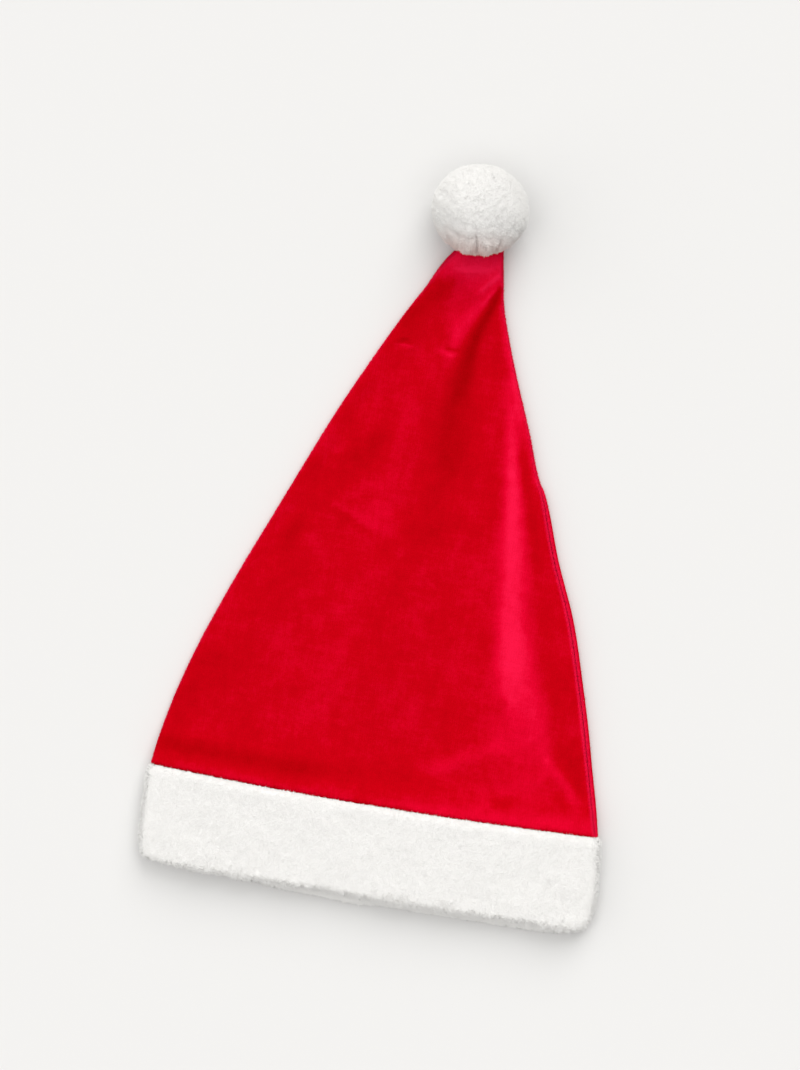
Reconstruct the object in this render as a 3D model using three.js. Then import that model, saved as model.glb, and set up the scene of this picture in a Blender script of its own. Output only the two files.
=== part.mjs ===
// A baby's long pointed hat in red velour, laid flat on a table: two velour panels sewn along both sides,
// a white plush brim folded double and sewn on as a ring, and a stuffed plush ball at the tip.
// Millimetres. The hat's own frame: X across, Y from the brim towards the tip, Z up from the table.
// The shapes are worked out with Y 0 near the brim's lower edge and X 0 on the hat's middle line,
// and the finished group is then moved so that its origin is under the middle of the whole hat.
import * as THREE from "three";

// Cloth
const VELOUR = 1.5; // wall of one velour panel
const SEAM_GAP = 0.3; // between pieces that are sewn together
const LEAST_GAP = 0.35; // between the two panels where they lie on each other

// Brim: plush folded double, so its wall is two plies and their pile
const BRIM_WALL = 6.0;
const BRIM_INSIDE = 0.8; // between the brim's front and back
const BRIM_LOOP = (BRIM_WALL + BRIM_INSIDE) / 2; // radius of the middle line where the ring turns over
const BRIM_SEAM_HALF = 0.9; // half of the brim's thickness in the seam
const BRIM_SHOULDER = 4.0; // height over which the plush rounds over into the seam

// Hem, where the crown is sewn to the brim
const HEM_Y = 42.0; // in the middle of the hat
const HEM_RISE_LEFT = 2.8; // the hem curves up towards both sides
const HEM_RISE_RIGHT = 2.0;
const HEM_HALF = 107.0;
const HEM_FADE = 0.35; // share of the crown over which its rows straighten out again
const HEM_BACK_Z = 3.4; // middle of the back wall in the seam
const HEM_GAP = 3.4; // clear height between front and back in the seam
const HEM_SLOPE_BACK = 20; // length over which the back panel comes down to the table
const HEM_SLOPE_FRONT = 34; // length over which the front panel comes down to the back one

// Crown edges
const EDGE_GAP = 1.7; // clear height at the side seams, where the turnings lie inside
const EDGE_FADE = 9; // width over which the front panel settles beside a seam
const REST_GAP = 0.6; // clear height where the front panel lies on the back one
const MOST_GAP = 3.8; // clear height under the highest ridge

// Tip
const TIP_Y = 311.0;
const TIP_BACK_Z = 4.5; // middle of the back wall where it meets the ball
const TIP_GAP = 3.2; // clear height there at the edges
const TIP_GAP_MIDDLE = 2.6;
const TIP_SLOPE = 30; // length over which the tip rises from the table to the ball
const TIP_FADE = 0.14; // share of the crown over which its rows turn to follow the ball

// Stuffed ball
const BALL = { x: 4.7, y: 328.8, z: 18.5, halfX: 22.8, halfY: 21.2, halfZ: 20.0 };
const BALL_SEAM_HALF = 11; // half of the width over which the tip follows the ball
const BALL_GATHERS = 11;
const BALL_GATHER_DEPTH = 0.11; // as a share of the radius, like the next two
const BALL_GATHER_CREST = 0.6; // part of the depth by which the crests would pass the plain ball
const BALL_DIMPLE = 0.07; // where the plush is drawn in to the seam
const BALL_GATHER_START = 0.3; // angle from the seam where the gathers are full, in radians
const BALL_GATHER_REACH = 0.85; // angle over which they die out
const BALL_DIMPLE_REACH = 0.28;

// Outline of the laid crown: distances of its two edges from the middle line at each height
const CROWN_SECTIONS = [
  { y: 43, left: 107.6, right: 108.8 },
  { y: 57, left: 105.8, right: 105.8 },
  { y: 76, left: 102.2, right: 100.8 },
  { y: 95, left: 97.2, right: 95.8 },
  { y: 114, left: 91.1, right: 90.2 },
  { y: 143, left: 80.4, right: 81.0 },
  { y: 171, left: 69.1, right: 69.0 },
  { y: 202, left: 56.6, right: 57.2 },
  { y: 207, left: 54.6, right: 53.9 },
  { y: 228, left: 45.7, right: 45.9 },
  { y: 257, left: 32.1, right: 34.1 },
  { y: 276, left: 22.6, right: 27.1 },
  { y: 288, left: 16.0, right: 23.4 },
  { y: 298, left: 10.8, right: 21.5 },
  { y: 305, left: 6.6, right: 20.2 },
  { y: 311, left: 2.8, right: 19.2 },
  { y: 320, left: 0.8, right: 17.8 },
];

// How far the back panel rolls over the right edge: the turn from the edge's outermost point up to the seam
const RIGHT_SEAM = [
  { y: 43, turn: 55 },
  { y: 62, turn: 80 },
  { y: 95, turn: 90 },
  { y: 185, turn: 90 },
  { y: 200, turn: 70 },
  { y: 210, turn: 20 },
  { y: 311, turn: 10 },
];

// Soft ridges of the front panel, each a curved line through three places with a width and a height
const RIDGES = [
  { name: "long ridge", x1: 36, y1: 238, x2: 47, y2: 168, x3: 66, y3: 78, width: 12, height: 3.0 },
  { name: "ridge under the tip", x1: 21, y1: 296, x2: 2, y2: 262, x3: -6, y3: 218, width: 9, height: 3.0 },
  { name: "left of the tip", x1: -2, y1: 300, x2: -12, y2: 280, x3: -30, y3: 244, width: 6, height: 1.2 },
  { name: "right edge ridge", x1: 46, y1: 214, x2: 70, y2: 158, x3: 95, y3: 80, width: 6, height: 1.4 },
  { name: "left swell", x1: -52, y1: 176, x2: -70, y2: 128, x3: -84, y3: 84, width: 16, height: 1.5 },
  { name: "middle swell", x1: -8, y1: 190, x2: -12, y2: 130, x3: -20, y3: 76, width: 22, height: 1.7 },
  { name: "lower right swell", x1: 40, y1: 76, x2: 62, y2: 66, x3: 86, y3: 60, width: 10, height: 1.2 },
];

const RIDGE_END_HEIGHT = 0.35; // as a share of the ridge's height

// Ends of the brim at each height above its lower edge, and the corner rounding in the lowest rows
const BRIM_ENDS = [
  { y: -6, left: 96.0, right: 97.0 },
  { y: -2, left: 102.0, right: 105.6 },
  { y: 1, left: 104.8, right: 109.0 },
  { y: 6, left: 106.4, right: 111.5 },
  { y: 12, left: 107.1, right: 112.2 },
  { y: 24, left: 107.9, right: 111.9 },
  { y: 36, left: 108.3, right: 110.7 },
  { y: 45, left: 108.4, right: 109.9 },
];

// Lower edge of the brim along the hat: the back's edge comes out from under the front's
const BRIM_FOLD = [
  { x: -108, front: 0.6, back: 0.6 },
  { x: -98, front: -0.2, back: 0.0 },
  { x: -76, front: -1.9, back: -1.3 },
  { x: -57, front: -1.8, back: -2.0 },
  { x: -37, front: -1.3, back: -4.4 },
  { x: -18, front: -0.7, back: -4.9 },
  { x: 2, front: -1.3, back: -5.7 },
  { x: 21, front: -2.3, back: -4.6 },
  { x: 40, front: -2.0, back: -4.9 },
  { x: 60, front: -1.5, back: -4.7 },
  { x: 79, front: -1.0, back: -4.6 },
  { x: 94, front: -1.6, back: -4.8 },
  { x: 104, front: -1.8, back: -3.6 },
  { x: 112, front: -0.6, back: -1.2 },
];

// Fineness of the meshes
const CROWN_ROWS = 36;
const CROWN_ROW_SPREAD = 0.45; // rows stand closer together at the hem and at the tip
const CROWN_EDGE_PASSES = 3;
const CROWN_COLUMNS_FRONT = 21;
const CROWN_COLUMNS_BACK = 9;
const EDGE_STEPS = [0, 0.8, 1.6, 2.5, 4.2, 7.5]; // distances from a side seam, along the cloth
const BRIM_SHOULDER_STEPS = [
  { down: 0, thickness: 0, seam: 1 },
  { down: 0.2, thickness: 0.6, seam: 0.55 },
  { down: 0.55, thickness: 0.91, seam: 0.15 },
  { down: 1, thickness: 1, seam: 0 },
];
const BRIM_BODY_STEPS = [0.25, 0.5, 0.75]; // between the shoulder and the fold
const BRIM_FOLD_STEPS = [90, 60, 30, 0]; // degrees round the fold
const BRIM_STEPS_FRONT = 26;
const BRIM_STEPS_BACK = 22;
const BRIM_STEPS_TURN = 7;
const BALL_RINGS = 20;
const BALL_RING_SPREAD = 1.15; // rings stand closer together at the seam
const BALL_MERIDIANS = 44;
const RIDGE_STEPS = 12;

const MATERIALS = {
  redVelour: new THREE.MeshStandardMaterial({ color: 0xc60016, roughness: 0.9, metalness: 0 }),
  whitePlush: new THREE.MeshStandardMaterial({ color: 0xf2f0ea, roughness: 1, metalness: 0 }),
};

// Shared mathematics

function smoothstep(low, high, value) {
  const share = THREE.MathUtils.clamp((value - low) / (high - low), 0, 1);
  return share * share * (3 - 2 * share);
}

const mix = THREE.MathUtils.lerp;

// Reads a column of a table between its rows, by a cubic that never overshoots them.
function along(table, key, column, at) {
  const last = table.length - 1;
  if (at <= table[0][key]) return table[0][column];
  if (at >= table[last][key]) return table[last][column];
  const row = table.findIndex((entry) => entry[key] > at) - 1;
  const slope = (i) => (table[i + 1][column] - table[i][column]) / (table[i + 1][key] - table[i][key]);
  const tangent = (i) => {
    if (i === 0) return slope(0);
    if (i === last) return slope(last - 1);
    const before = slope(i - 1);
    const after = slope(i);
    return before * after <= 0 ? 0 : (2 * before * after) / (before + after);
  };
  const step = table[row + 1][key] - table[row][key];
  const t = (at - table[row][key]) / step;
  const a = table[row][column];
  const b = table[row + 1][column];
  const t2 = t * t;
  const t3 = t2 * t;
  return (
    (2 * t3 - 3 * t2 + 1) * a +
    (t3 - 2 * t2 + t) * step * tangent(row) +
    (3 * t2 - 2 * t3) * b +
    (t3 - t2) * step * tangent(row + 1)
  );
}

// The line of a soft ridge, as a curve through its three places.
const RIDGE_LINES = RIDGES.map((ridge) => {
  const start = new THREE.Vector2(ridge.x1, ridge.y1);
  const end = new THREE.Vector2(ridge.x3, ridge.y3);
  const halfway = start.clone().lerp(end, 0.5);
  const control = new THREE.Vector2(2 * ridge.x2, 2 * ridge.y2).sub(halfway);
  return new THREE.QuadraticBezierCurve(start, control, end).getPoints(RIDGE_STEPS);
});

// Height of one soft ridge at a place on the crown: full beside the middle of its line, lower at its ends.
function ridgeHeight(ridge, line, x, y) {
  const place = new THREE.Vector2(x, y);
  let nearest = Infinity;
  let share = 0;
  for (let i = 1; i < line.length; i++) {
    const step = line[i].clone().sub(line[i - 1]);
    const from = place.clone().sub(line[i - 1]);
    const t = THREE.MathUtils.clamp(from.dot(step) / step.lengthSq(), 0, 1);
    const distance = from.addScaledVector(step, -t).length();
    if (distance < nearest) {
      nearest = distance;
      share = (i - 1 + t) / (line.length - 1);
    }
  }
  const taper = mix(RIDGE_END_HEIGHT, 1, Math.sin(Math.PI * share));
  return ridge.height * taper * Math.exp(-((nearest / ridge.width) ** 2));
}

function hemRise(x) {
  const rise = x < 0 ? HEM_RISE_LEFT : HEM_RISE_RIGHT;
  return rise * (x / HEM_HALF) ** 2;
}

// Crown: a flattened tube whose cross section is a loop with two rounded ends

function crownSection(share) {
  const y = mix(HEM_Y, TIP_Y, share);
  const nearHem = 1 - smoothstep(0, HEM_SLOPE_FRONT, y - HEM_Y);
  const nearTip = smoothstep(0, TIP_SLOPE, y - (TIP_Y - TIP_SLOPE));
  const backLift =
    (HEM_BACK_Z - VELOUR / 2) * (1 - smoothstep(0, HEM_SLOPE_BACK, y - HEM_Y)) +
    (TIP_BACK_Z - VELOUR / 2) * nearTip;
  const edgeGap = mix(mix(EDGE_GAP, HEM_GAP, nearHem), TIP_GAP, nearTip);
  const backZ = VELOUR / 2 + backLift;
  const radius = (VELOUR + edgeGap) / 2;
  const turn = THREE.MathUtils.degToRad(along(RIGHT_SEAM, "y", "turn", y));
  // The rows bend, so an edge is read where its own end of the row comes to lie.
  const edge = (side, sign) => {
    let x = sign * along(CROWN_SECTIONS, "y", side, y);
    for (let pass = 0; pass < CROWN_EDGE_PASSES; pass++) {
      x = sign * along(CROWN_SECTIONS, "y", side, y + rowShift(share, x, backZ + radius));
    }
    return x;
  };
  const left = edge("left", -1);
  const right = edge("right", 1);
  return { y, left, right, nearHem, nearTip, edgeGap, backZ, radius, turn };
}

// Clear height between the two panels at a place.
function crownGap(section, x) {
  const ridges = RIDGES.reduce((sum, ridge, i) => sum + ridgeHeight(ridge, RIDGE_LINES[i], x, section.y), 0);
  const middle = mix(mix(REST_GAP, HEM_GAP, section.nearHem), TIP_GAP_MIDDLE, section.nearTip);
  const fromEdge = Math.min(x - section.left, section.right - x) - section.radius;
  const atEdge = 1 - smoothstep(0, EDGE_FADE, fromEdge);
  const room = MOST_GAP - middle;
  const lifted = middle + room * (1 - Math.exp(-ridges / room));
  return Math.max(LEAST_GAP, mix(lifted, section.edgeGap, atEdge));
}

// A point of the loop's middle line at a turn from the right-hand end, 0 outermost and 90 degrees on top.
function loopEnd(section, side, turn) {
  const edge = side > 0 ? section.right - VELOUR / 2 : section.left + VELOUR / 2;
  const x = edge - side * section.radius * (1 - Math.cos(turn));
  const z = section.backZ + section.radius * (1 + Math.sin(turn));
  return { x, z, nx: side * Math.cos(turn), nz: Math.sin(turn) };
}

// The front panel's middle line at a distance along the cloth from the left seam, and its whole length.
function frontPath(section) {
  const leftArc = (section.radius * Math.PI) / 2;
  const rightArc = section.radius * (Math.PI / 2 - section.turn);
  const inset = VELOUR / 2 + section.radius;
  const straight = section.right - section.left - 2 * inset;
  const length = leftArc + straight + rightArc;
  const at = (distance) => {
    if (distance < leftArc) return loopEnd(section, -1, distance / section.radius);
    if (distance > leftArc + straight) {
      return loopEnd(section, 1, Math.PI / 2 - (distance - leftArc - straight) / section.radius);
    }
    const x = section.left + inset + distance - leftArc;
    return { x, z: section.backZ + 2 * section.radius, nx: 0, nz: 1 };
  };
  return { length, at };
}

// The back panel's middle line from the left seam, under the hat and round the right edge to the seam there.
function backPath(section) {
  const leftArc = (section.radius * Math.PI) / 2;
  const rightArc = section.radius * (Math.PI / 2 + section.turn);
  const inset = VELOUR / 2 + section.radius;
  const straight = section.right - section.left - 2 * inset;
  const length = leftArc + straight + rightArc;
  const at = (distance) => {
    if (distance < leftArc) return loopEnd(section, -1, -distance / section.radius);
    if (distance > leftArc + straight) {
      return loopEnd(section, 1, -Math.PI / 2 + (distance - leftArc - straight) / section.radius);
    }
    const x = section.left + inset + distance - leftArc;
    return { x, z: section.backZ, nx: 0, nz: -1 };
  };
  return { length, at };
}

// Distances along the cloth from one seam to the other, closer together beside the seams.
function clothSteps(length, columns) {
  const edge = EDGE_STEPS.map((step) => step * Math.min(1, length / 30));
  const first = edge[edge.length - 1];
  const steps = [...edge];
  for (let i = 1; i < columns; i++) steps.push(mix(first, length - first, i / columns));
  return [...steps, ...edge.map((step) => length - step).reverse()].map((distance) =>
    THREE.MathUtils.clamp(distance, SEAM_GAP / 2, length - SEAM_GAP / 2),
  );
}

// Where the ball's surface lies over a point of the crown's tip.
function ballFront(x, z) {
  const fromMiddle = THREE.MathUtils.clamp(x - BALL.x, -BALL_SEAM_HALF, BALL_SEAM_HALF);
  const height = Math.max(z, TIP_BACK_Z - VELOUR);
  const across = (fromMiddle / (BALL.halfX + SEAM_GAP)) ** 2;
  const up = ((height - BALL.z) / (BALL.halfZ + SEAM_GAP)) ** 2;
  return BALL.y - (BALL.halfY + SEAM_GAP) * Math.sqrt(1 - across - up);
}

// How far a row is bent along the hat: the hem curves up at the sides, and the tip follows the ball.
function rowShift(share, x, z) {
  const hem = (hemRise(x) + SEAM_GAP / 2) * (1 - smoothstep(0, HEM_FADE, share));
  const tip = (ballFront(x, z) - TIP_Y) * smoothstep(1 - TIP_FADE, 1, share);
  return hem + tip;
}

function crownPanel(pathOf, columns, liftOf) {
  const outer = [];
  const inner = [];
  for (let row = 0; row <= CROWN_ROWS; row++) {
    const even = row / CROWN_ROWS;
    const share = even - (CROWN_ROW_SPREAD * Math.sin(2 * Math.PI * even)) / (2 * Math.PI);
    const section = crownSection(share);
    const path = pathOf(section);
    const points = clothSteps(path.length, columns).map((distance) => path.at(distance));
    const side = (sign) =>
      points.map(({ x, z, nx, nz }) => {
        const half = (sign * VELOUR) / 2;
        const height = z + nz * half + liftOf(section, x, nz);
        const across = x + nx * half;
        return new THREE.Vector3(across, section.y + rowShift(share, across, height), height);
      });
    outer.push(side(1));
    inner.push(side(-1));
  }
  return wallGeometry(outer, inner);
}

// How much lower or higher than the edges the front panel lies at a place.
function frontLift(section, x, nz) {
  return nz > 0 ? (crownGap(section, x) - section.edgeGap) * smoothstep(0.6, 1, nz) : 0;
}

// Brim: a ring of folded plush, laid flat

// The ring's stations: up round the left end, along the front, down round the right end, back along the back.
function brimStations() {
  const stations = [];
  for (let step = 0; step < BRIM_STEPS_TURN; step++) {
    const turn = Math.PI * (step / BRIM_STEPS_TURN - 0.5);
    stations.push({ across: 0, nx: -Math.cos(turn), nz: Math.sin(turn) });
  }
  for (let step = 0; step < BRIM_STEPS_FRONT; step++) {
    stations.push({ across: step / BRIM_STEPS_FRONT, nx: 0, nz: 1 });
  }
  for (let step = 0; step < BRIM_STEPS_TURN; step++) {
    const turn = Math.PI * (0.5 - step / BRIM_STEPS_TURN);
    stations.push({ across: 1, nx: Math.cos(turn), nz: Math.sin(turn) });
  }
  for (let step = 0; step < BRIM_STEPS_BACK; step++) {
    stations.push({ across: 1 - step / BRIM_STEPS_BACK, nx: 0, nz: -1 });
  }
  return stations;
}

// A point of the brim: a station on the ring, a height, and an offset from the wall's middle.
// Towards the seam the ring narrows to the height of the crown's loop.
function brimPoint(station, { y, offset, seam }) {
  const inset = BRIM_WALL / 2 + BRIM_LOOP;
  const left = -along(BRIM_ENDS, "y", "left", y) + inset;
  const right = along(BRIM_ENDS, "y", "right", y) - inset;
  const seamRadius = (VELOUR + HEM_GAP) / 2;
  const reach = mix(BRIM_LOOP, seamRadius, seam) + offset;
  const centreZ = mix(inset, HEM_BACK_Z + seamRadius, seam);
  const x = mix(left, right, station.across) + station.nx * reach;
  return new THREE.Vector3(x, y, centreZ + station.nz * reach);
}

function brimEdgeY(station, x) {
  const front = along(BRIM_FOLD, "x", "front", x);
  const back = along(BRIM_FOLD, "x", "back", x);
  return mix(back, front, (1 + station.nz) / 2);
}

// The wall's profile from the seam down the outside, round the fold and up the inside.
function brimProfile(bottom, top) {
  const half = BRIM_WALL / 2;
  const shoulder = BRIM_SHOULDER_STEPS.map(({ down, thickness, seam }) => ({
    y: top - BRIM_SHOULDER * down,
    offset: mix(BRIM_SEAM_HALF, half, thickness),
    seam,
  }));
  const body = BRIM_BODY_STEPS.map((share) => ({
    y: mix(top - BRIM_SHOULDER, bottom + half, share),
    offset: half,
    seam: 0,
  }));
  const fold = BRIM_FOLD_STEPS.map((degrees) => {
    const angle = THREE.MathUtils.degToRad(degrees);
    return { y: bottom + half * (1 - Math.cos(angle)), offset: half * Math.sin(angle), seam: 0 };
  });
  const outside = [...shoulder, ...body, ...fold];
  const inside = outside.slice(0, -1).map((point) => ({ ...point, offset: -point.offset }));
  return [...outside, ...inside.reverse()];
}

function brimGeometry() {
  const belly = { y: BRIM_WALL, offset: BRIM_WALL / 2, seam: 0 };
  const rings = brimStations().map((station) => {
    const { x } = brimPoint(station, belly);
    const top = HEM_Y + hemRise(x) - SEAM_GAP / 2;
    return brimProfile(brimEdgeY(station, x), top).map((point) => brimPoint(station, point));
  });
  return ringGeometry(rings);
}

// Ball: stuffed plush gathered towards the tip, flat where it rests on the table

// A point of the ball at an angle from the seam and a turn about it.
function ballPoint({ pole, side, over }, polar, turn) {
  const fade = smoothstep(0, BALL_GATHER_START, polar) * Math.exp(-((polar / BALL_GATHER_REACH) ** 2));
  const gather = Math.abs(Math.sin((turn * BALL_GATHERS) / 2)) - BALL_GATHER_CREST;
  const radius = 1 + BALL_GATHER_DEPTH * gather * fade;
  const dimple = BALL_DIMPLE * Math.exp(-((polar / BALL_DIMPLE_REACH) ** 2));
  const direction = new THREE.Vector3()
    .addScaledVector(pole, Math.cos(polar))
    .addScaledVector(side, Math.sin(polar) * Math.cos(turn))
    .addScaledVector(over, Math.sin(polar) * Math.sin(turn))
    .multiplyScalar(Math.min(radius, 1) - dimple);
  const z = BALL.z + direction.z * BALL.halfZ;
  return new THREE.Vector3(
    BALL.x + direction.x * BALL.halfX,
    BALL.y + direction.y * BALL.halfY,
    Math.max(0, z),
  );
}

// Directions from the ball's middle: towards the seam, and two across that.
function ballAxes() {
  const tipX = (CROWN_SECTIONS.at(-1).right - CROWN_SECTIONS.at(-1).left) / 2;
  const pole = new THREE.Vector3(
    (tipX - BALL.x) / BALL.halfX,
    (TIP_Y - BALL.y) / BALL.halfY,
    (TIP_BACK_Z + TIP_GAP / 2 - BALL.z) / BALL.halfZ,
  ).normalize();
  const side = new THREE.Vector3(0, 0, 1).cross(pole).normalize();
  return { pole, side, over: pole.clone().cross(side) };
}

function ballGeometry() {
  const axes = ballAxes();
  const points = [ballPoint(axes, 0, 0)];
  for (let ring = 1; ring < BALL_RINGS; ring++) {
    const polar = Math.PI * (ring / BALL_RINGS) ** BALL_RING_SPREAD;
    for (let step = 0; step < BALL_MERIDIANS; step++) {
      points.push(ballPoint(axes, polar, (step / BALL_MERIDIANS) * 2 * Math.PI));
    }
  }
  points.push(ballPoint(axes, Math.PI, 0));
  const faces = [];
  const at = (ring, step) => 1 + (ring - 1) * BALL_MERIDIANS + (step % BALL_MERIDIANS);
  for (let step = 0; step < BALL_MERIDIANS; step++) {
    faces.push([0, at(1, step), at(1, step + 1)]);
    for (let ring = 1; ring < BALL_RINGS - 1; ring++) {
      faces.push([at(ring, step), at(ring + 1, step), at(ring + 1, step + 1)]);
      faces.push([at(ring, step), at(ring + 1, step + 1), at(ring, step + 1)]);
    }
    faces.push([at(BALL_RINGS - 1, step), points.length - 1, at(BALL_RINGS - 1, step + 1)]);
  }
  return closedGeometry(points, faces);
}

// Closed meshes

// Makes a geometry whose faces point out, whichever way round they were listed.
function closedGeometry(points, faces) {
  let volume = 0;
  for (const [a, b, c] of faces) volume += points[a].dot(points[b].clone().cross(points[c])) / 6;
  const index = faces.flatMap(([a, b, c]) => (volume > 0 ? [a, b, c] : [a, c, b]));
  const geometry = new THREE.BufferGeometry().setFromPoints(points);
  geometry.setIndex(index);
  geometry.computeVertexNormals();
  return geometry;
}

// A wall between two grids of points, closed round its four edges.
function wallGeometry(outer, inner) {
  const columns = outer[0].length;
  const points = [...outer.flat(), ...inner.flat()];
  const front = (row, column) => row * columns + column;
  const back = (row, column) => outer.length * columns + front(row, column);
  const faces = [];
  const quad = (a, b, c, d) => faces.push([a, b, c], [a, c, d]);
  for (let row = 0; row < outer.length - 1; row++) {
    for (let column = 0; column < columns - 1; column++) {
      quad(front(row, column), front(row, column + 1), front(row + 1, column + 1), front(row + 1, column));
      quad(back(row, column), back(row + 1, column), back(row + 1, column + 1), back(row, column + 1));
    }
    quad(front(row, 0), front(row + 1, 0), back(row + 1, 0), back(row, 0));
    const last = columns - 1;
    quad(front(row, last), back(row, last), back(row + 1, last), front(row + 1, last));
  }
  const top = outer.length - 1;
  for (let column = 0; column < columns - 1; column++) {
    quad(front(0, column), back(0, column), back(0, column + 1), front(0, column + 1));
    quad(front(top, column), front(top, column + 1), back(top, column + 1), back(top, column));
  }
  return closedGeometry(points, faces);
}

// A closed ring of closed profiles.
function ringGeometry(rings) {
  const size = rings[0].length;
  const points = rings.flat();
  const faces = [];
  for (let ring = 0; ring < rings.length; ring++) {
    const next = (ring + 1) % rings.length;
    for (let step = 0; step < size; step++) {
      const after = (step + 1) % size;
      const corners = [ring * size + step, ring * size + after, next * size + after, next * size + step];
      faces.push([corners[0], corners[1], corners[2]], [corners[0], corners[2], corners[3]]);
    }
  }
  return closedGeometry(points, faces);
}

function piece(name, geometry, material) {
  const mesh = new THREE.Mesh(geometry, material);
  mesh.name = name;
  return mesh;
}

const hat = new THREE.Group();
hat.add(
  piece("crown_front", crownPanel(frontPath, CROWN_COLUMNS_FRONT, frontLift), MATERIALS.redVelour),
  piece("crown_back", crownPanel(backPath, CROWN_COLUMNS_BACK, () => 0), MATERIALS.redVelour),
  piece("brim", brimGeometry(), MATERIALS.whitePlush),
  piece("ball", ballGeometry(), MATERIALS.whitePlush),
);

// The origin goes under the middle of the hat, on the table.
const extent = new THREE.Box3().setFromObject(hat, true);
const middle = extent.getCenter(new THREE.Vector3());
hat.children.forEach((mesh) => mesh.position.set(-middle.x, -middle.y, -extent.min.z));

export default hat;
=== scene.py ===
"""A baby's long pointed hat laid flat on a table: two red velour panels, a white plush brim folded double,
and a stuffed plush ball gathered onto the tip. The shapes are worked out in millimetres in the hat's own frame,
X across, Y from the brim towards the tip and Z up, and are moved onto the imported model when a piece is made."""
import math

import bpy
import numpy as np
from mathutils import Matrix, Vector


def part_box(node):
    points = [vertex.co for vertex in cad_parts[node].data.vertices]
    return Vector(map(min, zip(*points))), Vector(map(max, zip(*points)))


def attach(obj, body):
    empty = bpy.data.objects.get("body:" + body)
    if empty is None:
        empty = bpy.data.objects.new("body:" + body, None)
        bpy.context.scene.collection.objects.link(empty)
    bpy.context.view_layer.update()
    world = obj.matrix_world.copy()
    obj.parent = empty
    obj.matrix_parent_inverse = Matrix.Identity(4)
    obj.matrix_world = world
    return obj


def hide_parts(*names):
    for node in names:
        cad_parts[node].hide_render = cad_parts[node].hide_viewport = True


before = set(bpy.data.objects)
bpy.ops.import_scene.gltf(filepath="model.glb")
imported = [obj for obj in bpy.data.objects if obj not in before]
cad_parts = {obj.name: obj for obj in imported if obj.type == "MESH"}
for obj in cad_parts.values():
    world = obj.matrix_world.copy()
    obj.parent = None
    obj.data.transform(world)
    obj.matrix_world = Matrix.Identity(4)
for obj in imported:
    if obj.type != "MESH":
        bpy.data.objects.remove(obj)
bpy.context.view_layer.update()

# Cloth
VELOUR = 1.5
SEAM_GAP = 0.3
LEAST_GAP = 0.35

# Brim: two plies and their pile make one wall
BRIM_WALL = 6.0
BRIM_INSIDE = 0.8
BRIM_LOOP = (BRIM_WALL + BRIM_INSIDE) / 2
BRIM_SEAM_HALF = 0.9
BRIM_SHOULDER = 4.0
BRIM_PILE = 0.5
BRIM_LEAST_HALF = 0.5
BRIM_LOWEST = 0.3

# Hem
HEM_Y = 42.0
HEM_RISE_LEFT = 2.8
HEM_RISE_RIGHT = 2.0
HEM_HALF = 107.0
HEM_FADE = 0.35
HEM_BACK_Z = 3.4
HEM_GAP = 3.4
HEM_SLOPE_BACK = 20
HEM_SLOPE_FRONT = 34

# Crown edges
EDGE_GAP = 1.7
EDGE_FADE = 9
REST_GAP = 0.6
MOST_GAP = 3.8

# Tip
TIP_Y = 311.0
TIP_BACK_Z = 4.5
TIP_GAP = 3.2
TIP_GAP_MIDDLE = 2.6
TIP_SLOPE = 30
TIP_FADE = 0.14

# Stuffed ball
BALL_MIDDLE = np.array([4.7, 328.8, 18.5])
BALL_HALF = np.array([22.8, 21.2, 20.0])
BALL_SEAM_HALF = 11
BALL_GATHERS = 11
BALL_GATHER_DEPTH = 0.11
BALL_GATHER_CREST = 0.6
BALL_DIMPLE = 0.07
BALL_GATHER_START = 0.3
BALL_GATHER_REACH = 1.0
BALL_DIMPLE_REACH = 0.28
BALL_PILE = 0.45
BALL_RING_SPREAD = 1.15
BALL_LOWEST = 0.25

# Puckers on the upper side of the ball beside its seam. Each place: x, y, reach to its left and right, height
BALL_PUCKERS = {
    "gather in the middle": (
        (4.4, 319, 0.9, 0.9, -0.05), (5.2, 316.6, 1.0, 1.0, -0.4), (5.4, 314.2, 1.0, 1.1, -0.75),
        (6.3, 311.6, 1.1, 1.1, -0.5), (5.6, 308, 1.2, 1.2, -0.8),
    ),
    "swell left of it": ((1.5, 317, 2.0, 1.6, 0.36), (1.5, 312, 2.2, 1.8, 0.83), (1.0, 308, 2.2, 2.0, 1.07)),
    "swell right of it": ((9.0, 317, 1.6, 2.0, 0.36), (10.0, 312.5, 1.8, 2.2, 0.71), (11.0, 309, 2.0, 2.2, 0.83)),
    "pucker across, left": (
        (-10, 317.5, 0.7, 0.9, -0.24), (-4.5, 314.8, 0.7, 0.9, -0.71), (1.0, 313.6, 0.7, 0.9, -0.89),
        (4.6, 314.4, 0.7, 0.9, -0.48),
    ),
    "pucker across, right": (
        (6.8, 315.2, 0.7, 0.9, -0.48), (11, 314.6, 0.7, 0.9, -0.83), (15.5, 316.6, 0.7, 0.9, -0.29),
    ),
    "upper pucker, left": (
        (-6, 321.2, 0.6, 0.8, -0.12), (-1.5, 319.2, 0.6, 0.8, -0.41), (3, 319.0, 0.6, 0.8, -0.18),
    ),
    "upper pucker, right": ((9, 320.2, 0.6, 0.8, -0.12), (14, 320.6, 0.6, 0.8, -0.41), (18, 323, 0.6, 0.8, -0.12)),
    "gather at the left": (
        (-13, 320, 0.8, 0.8, -0.24), (-9.5, 315, 0.9, 0.9, -0.71), (-6.5, 310.5, 0.9, 0.9, -1.07),
    ),
    "gather at the right": ((21, 322, 0.8, 0.8, -0.24), (17.5, 316, 0.9, 0.9, -0.59), (15, 311.5, 0.9, 0.9, -0.95)),
}

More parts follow.
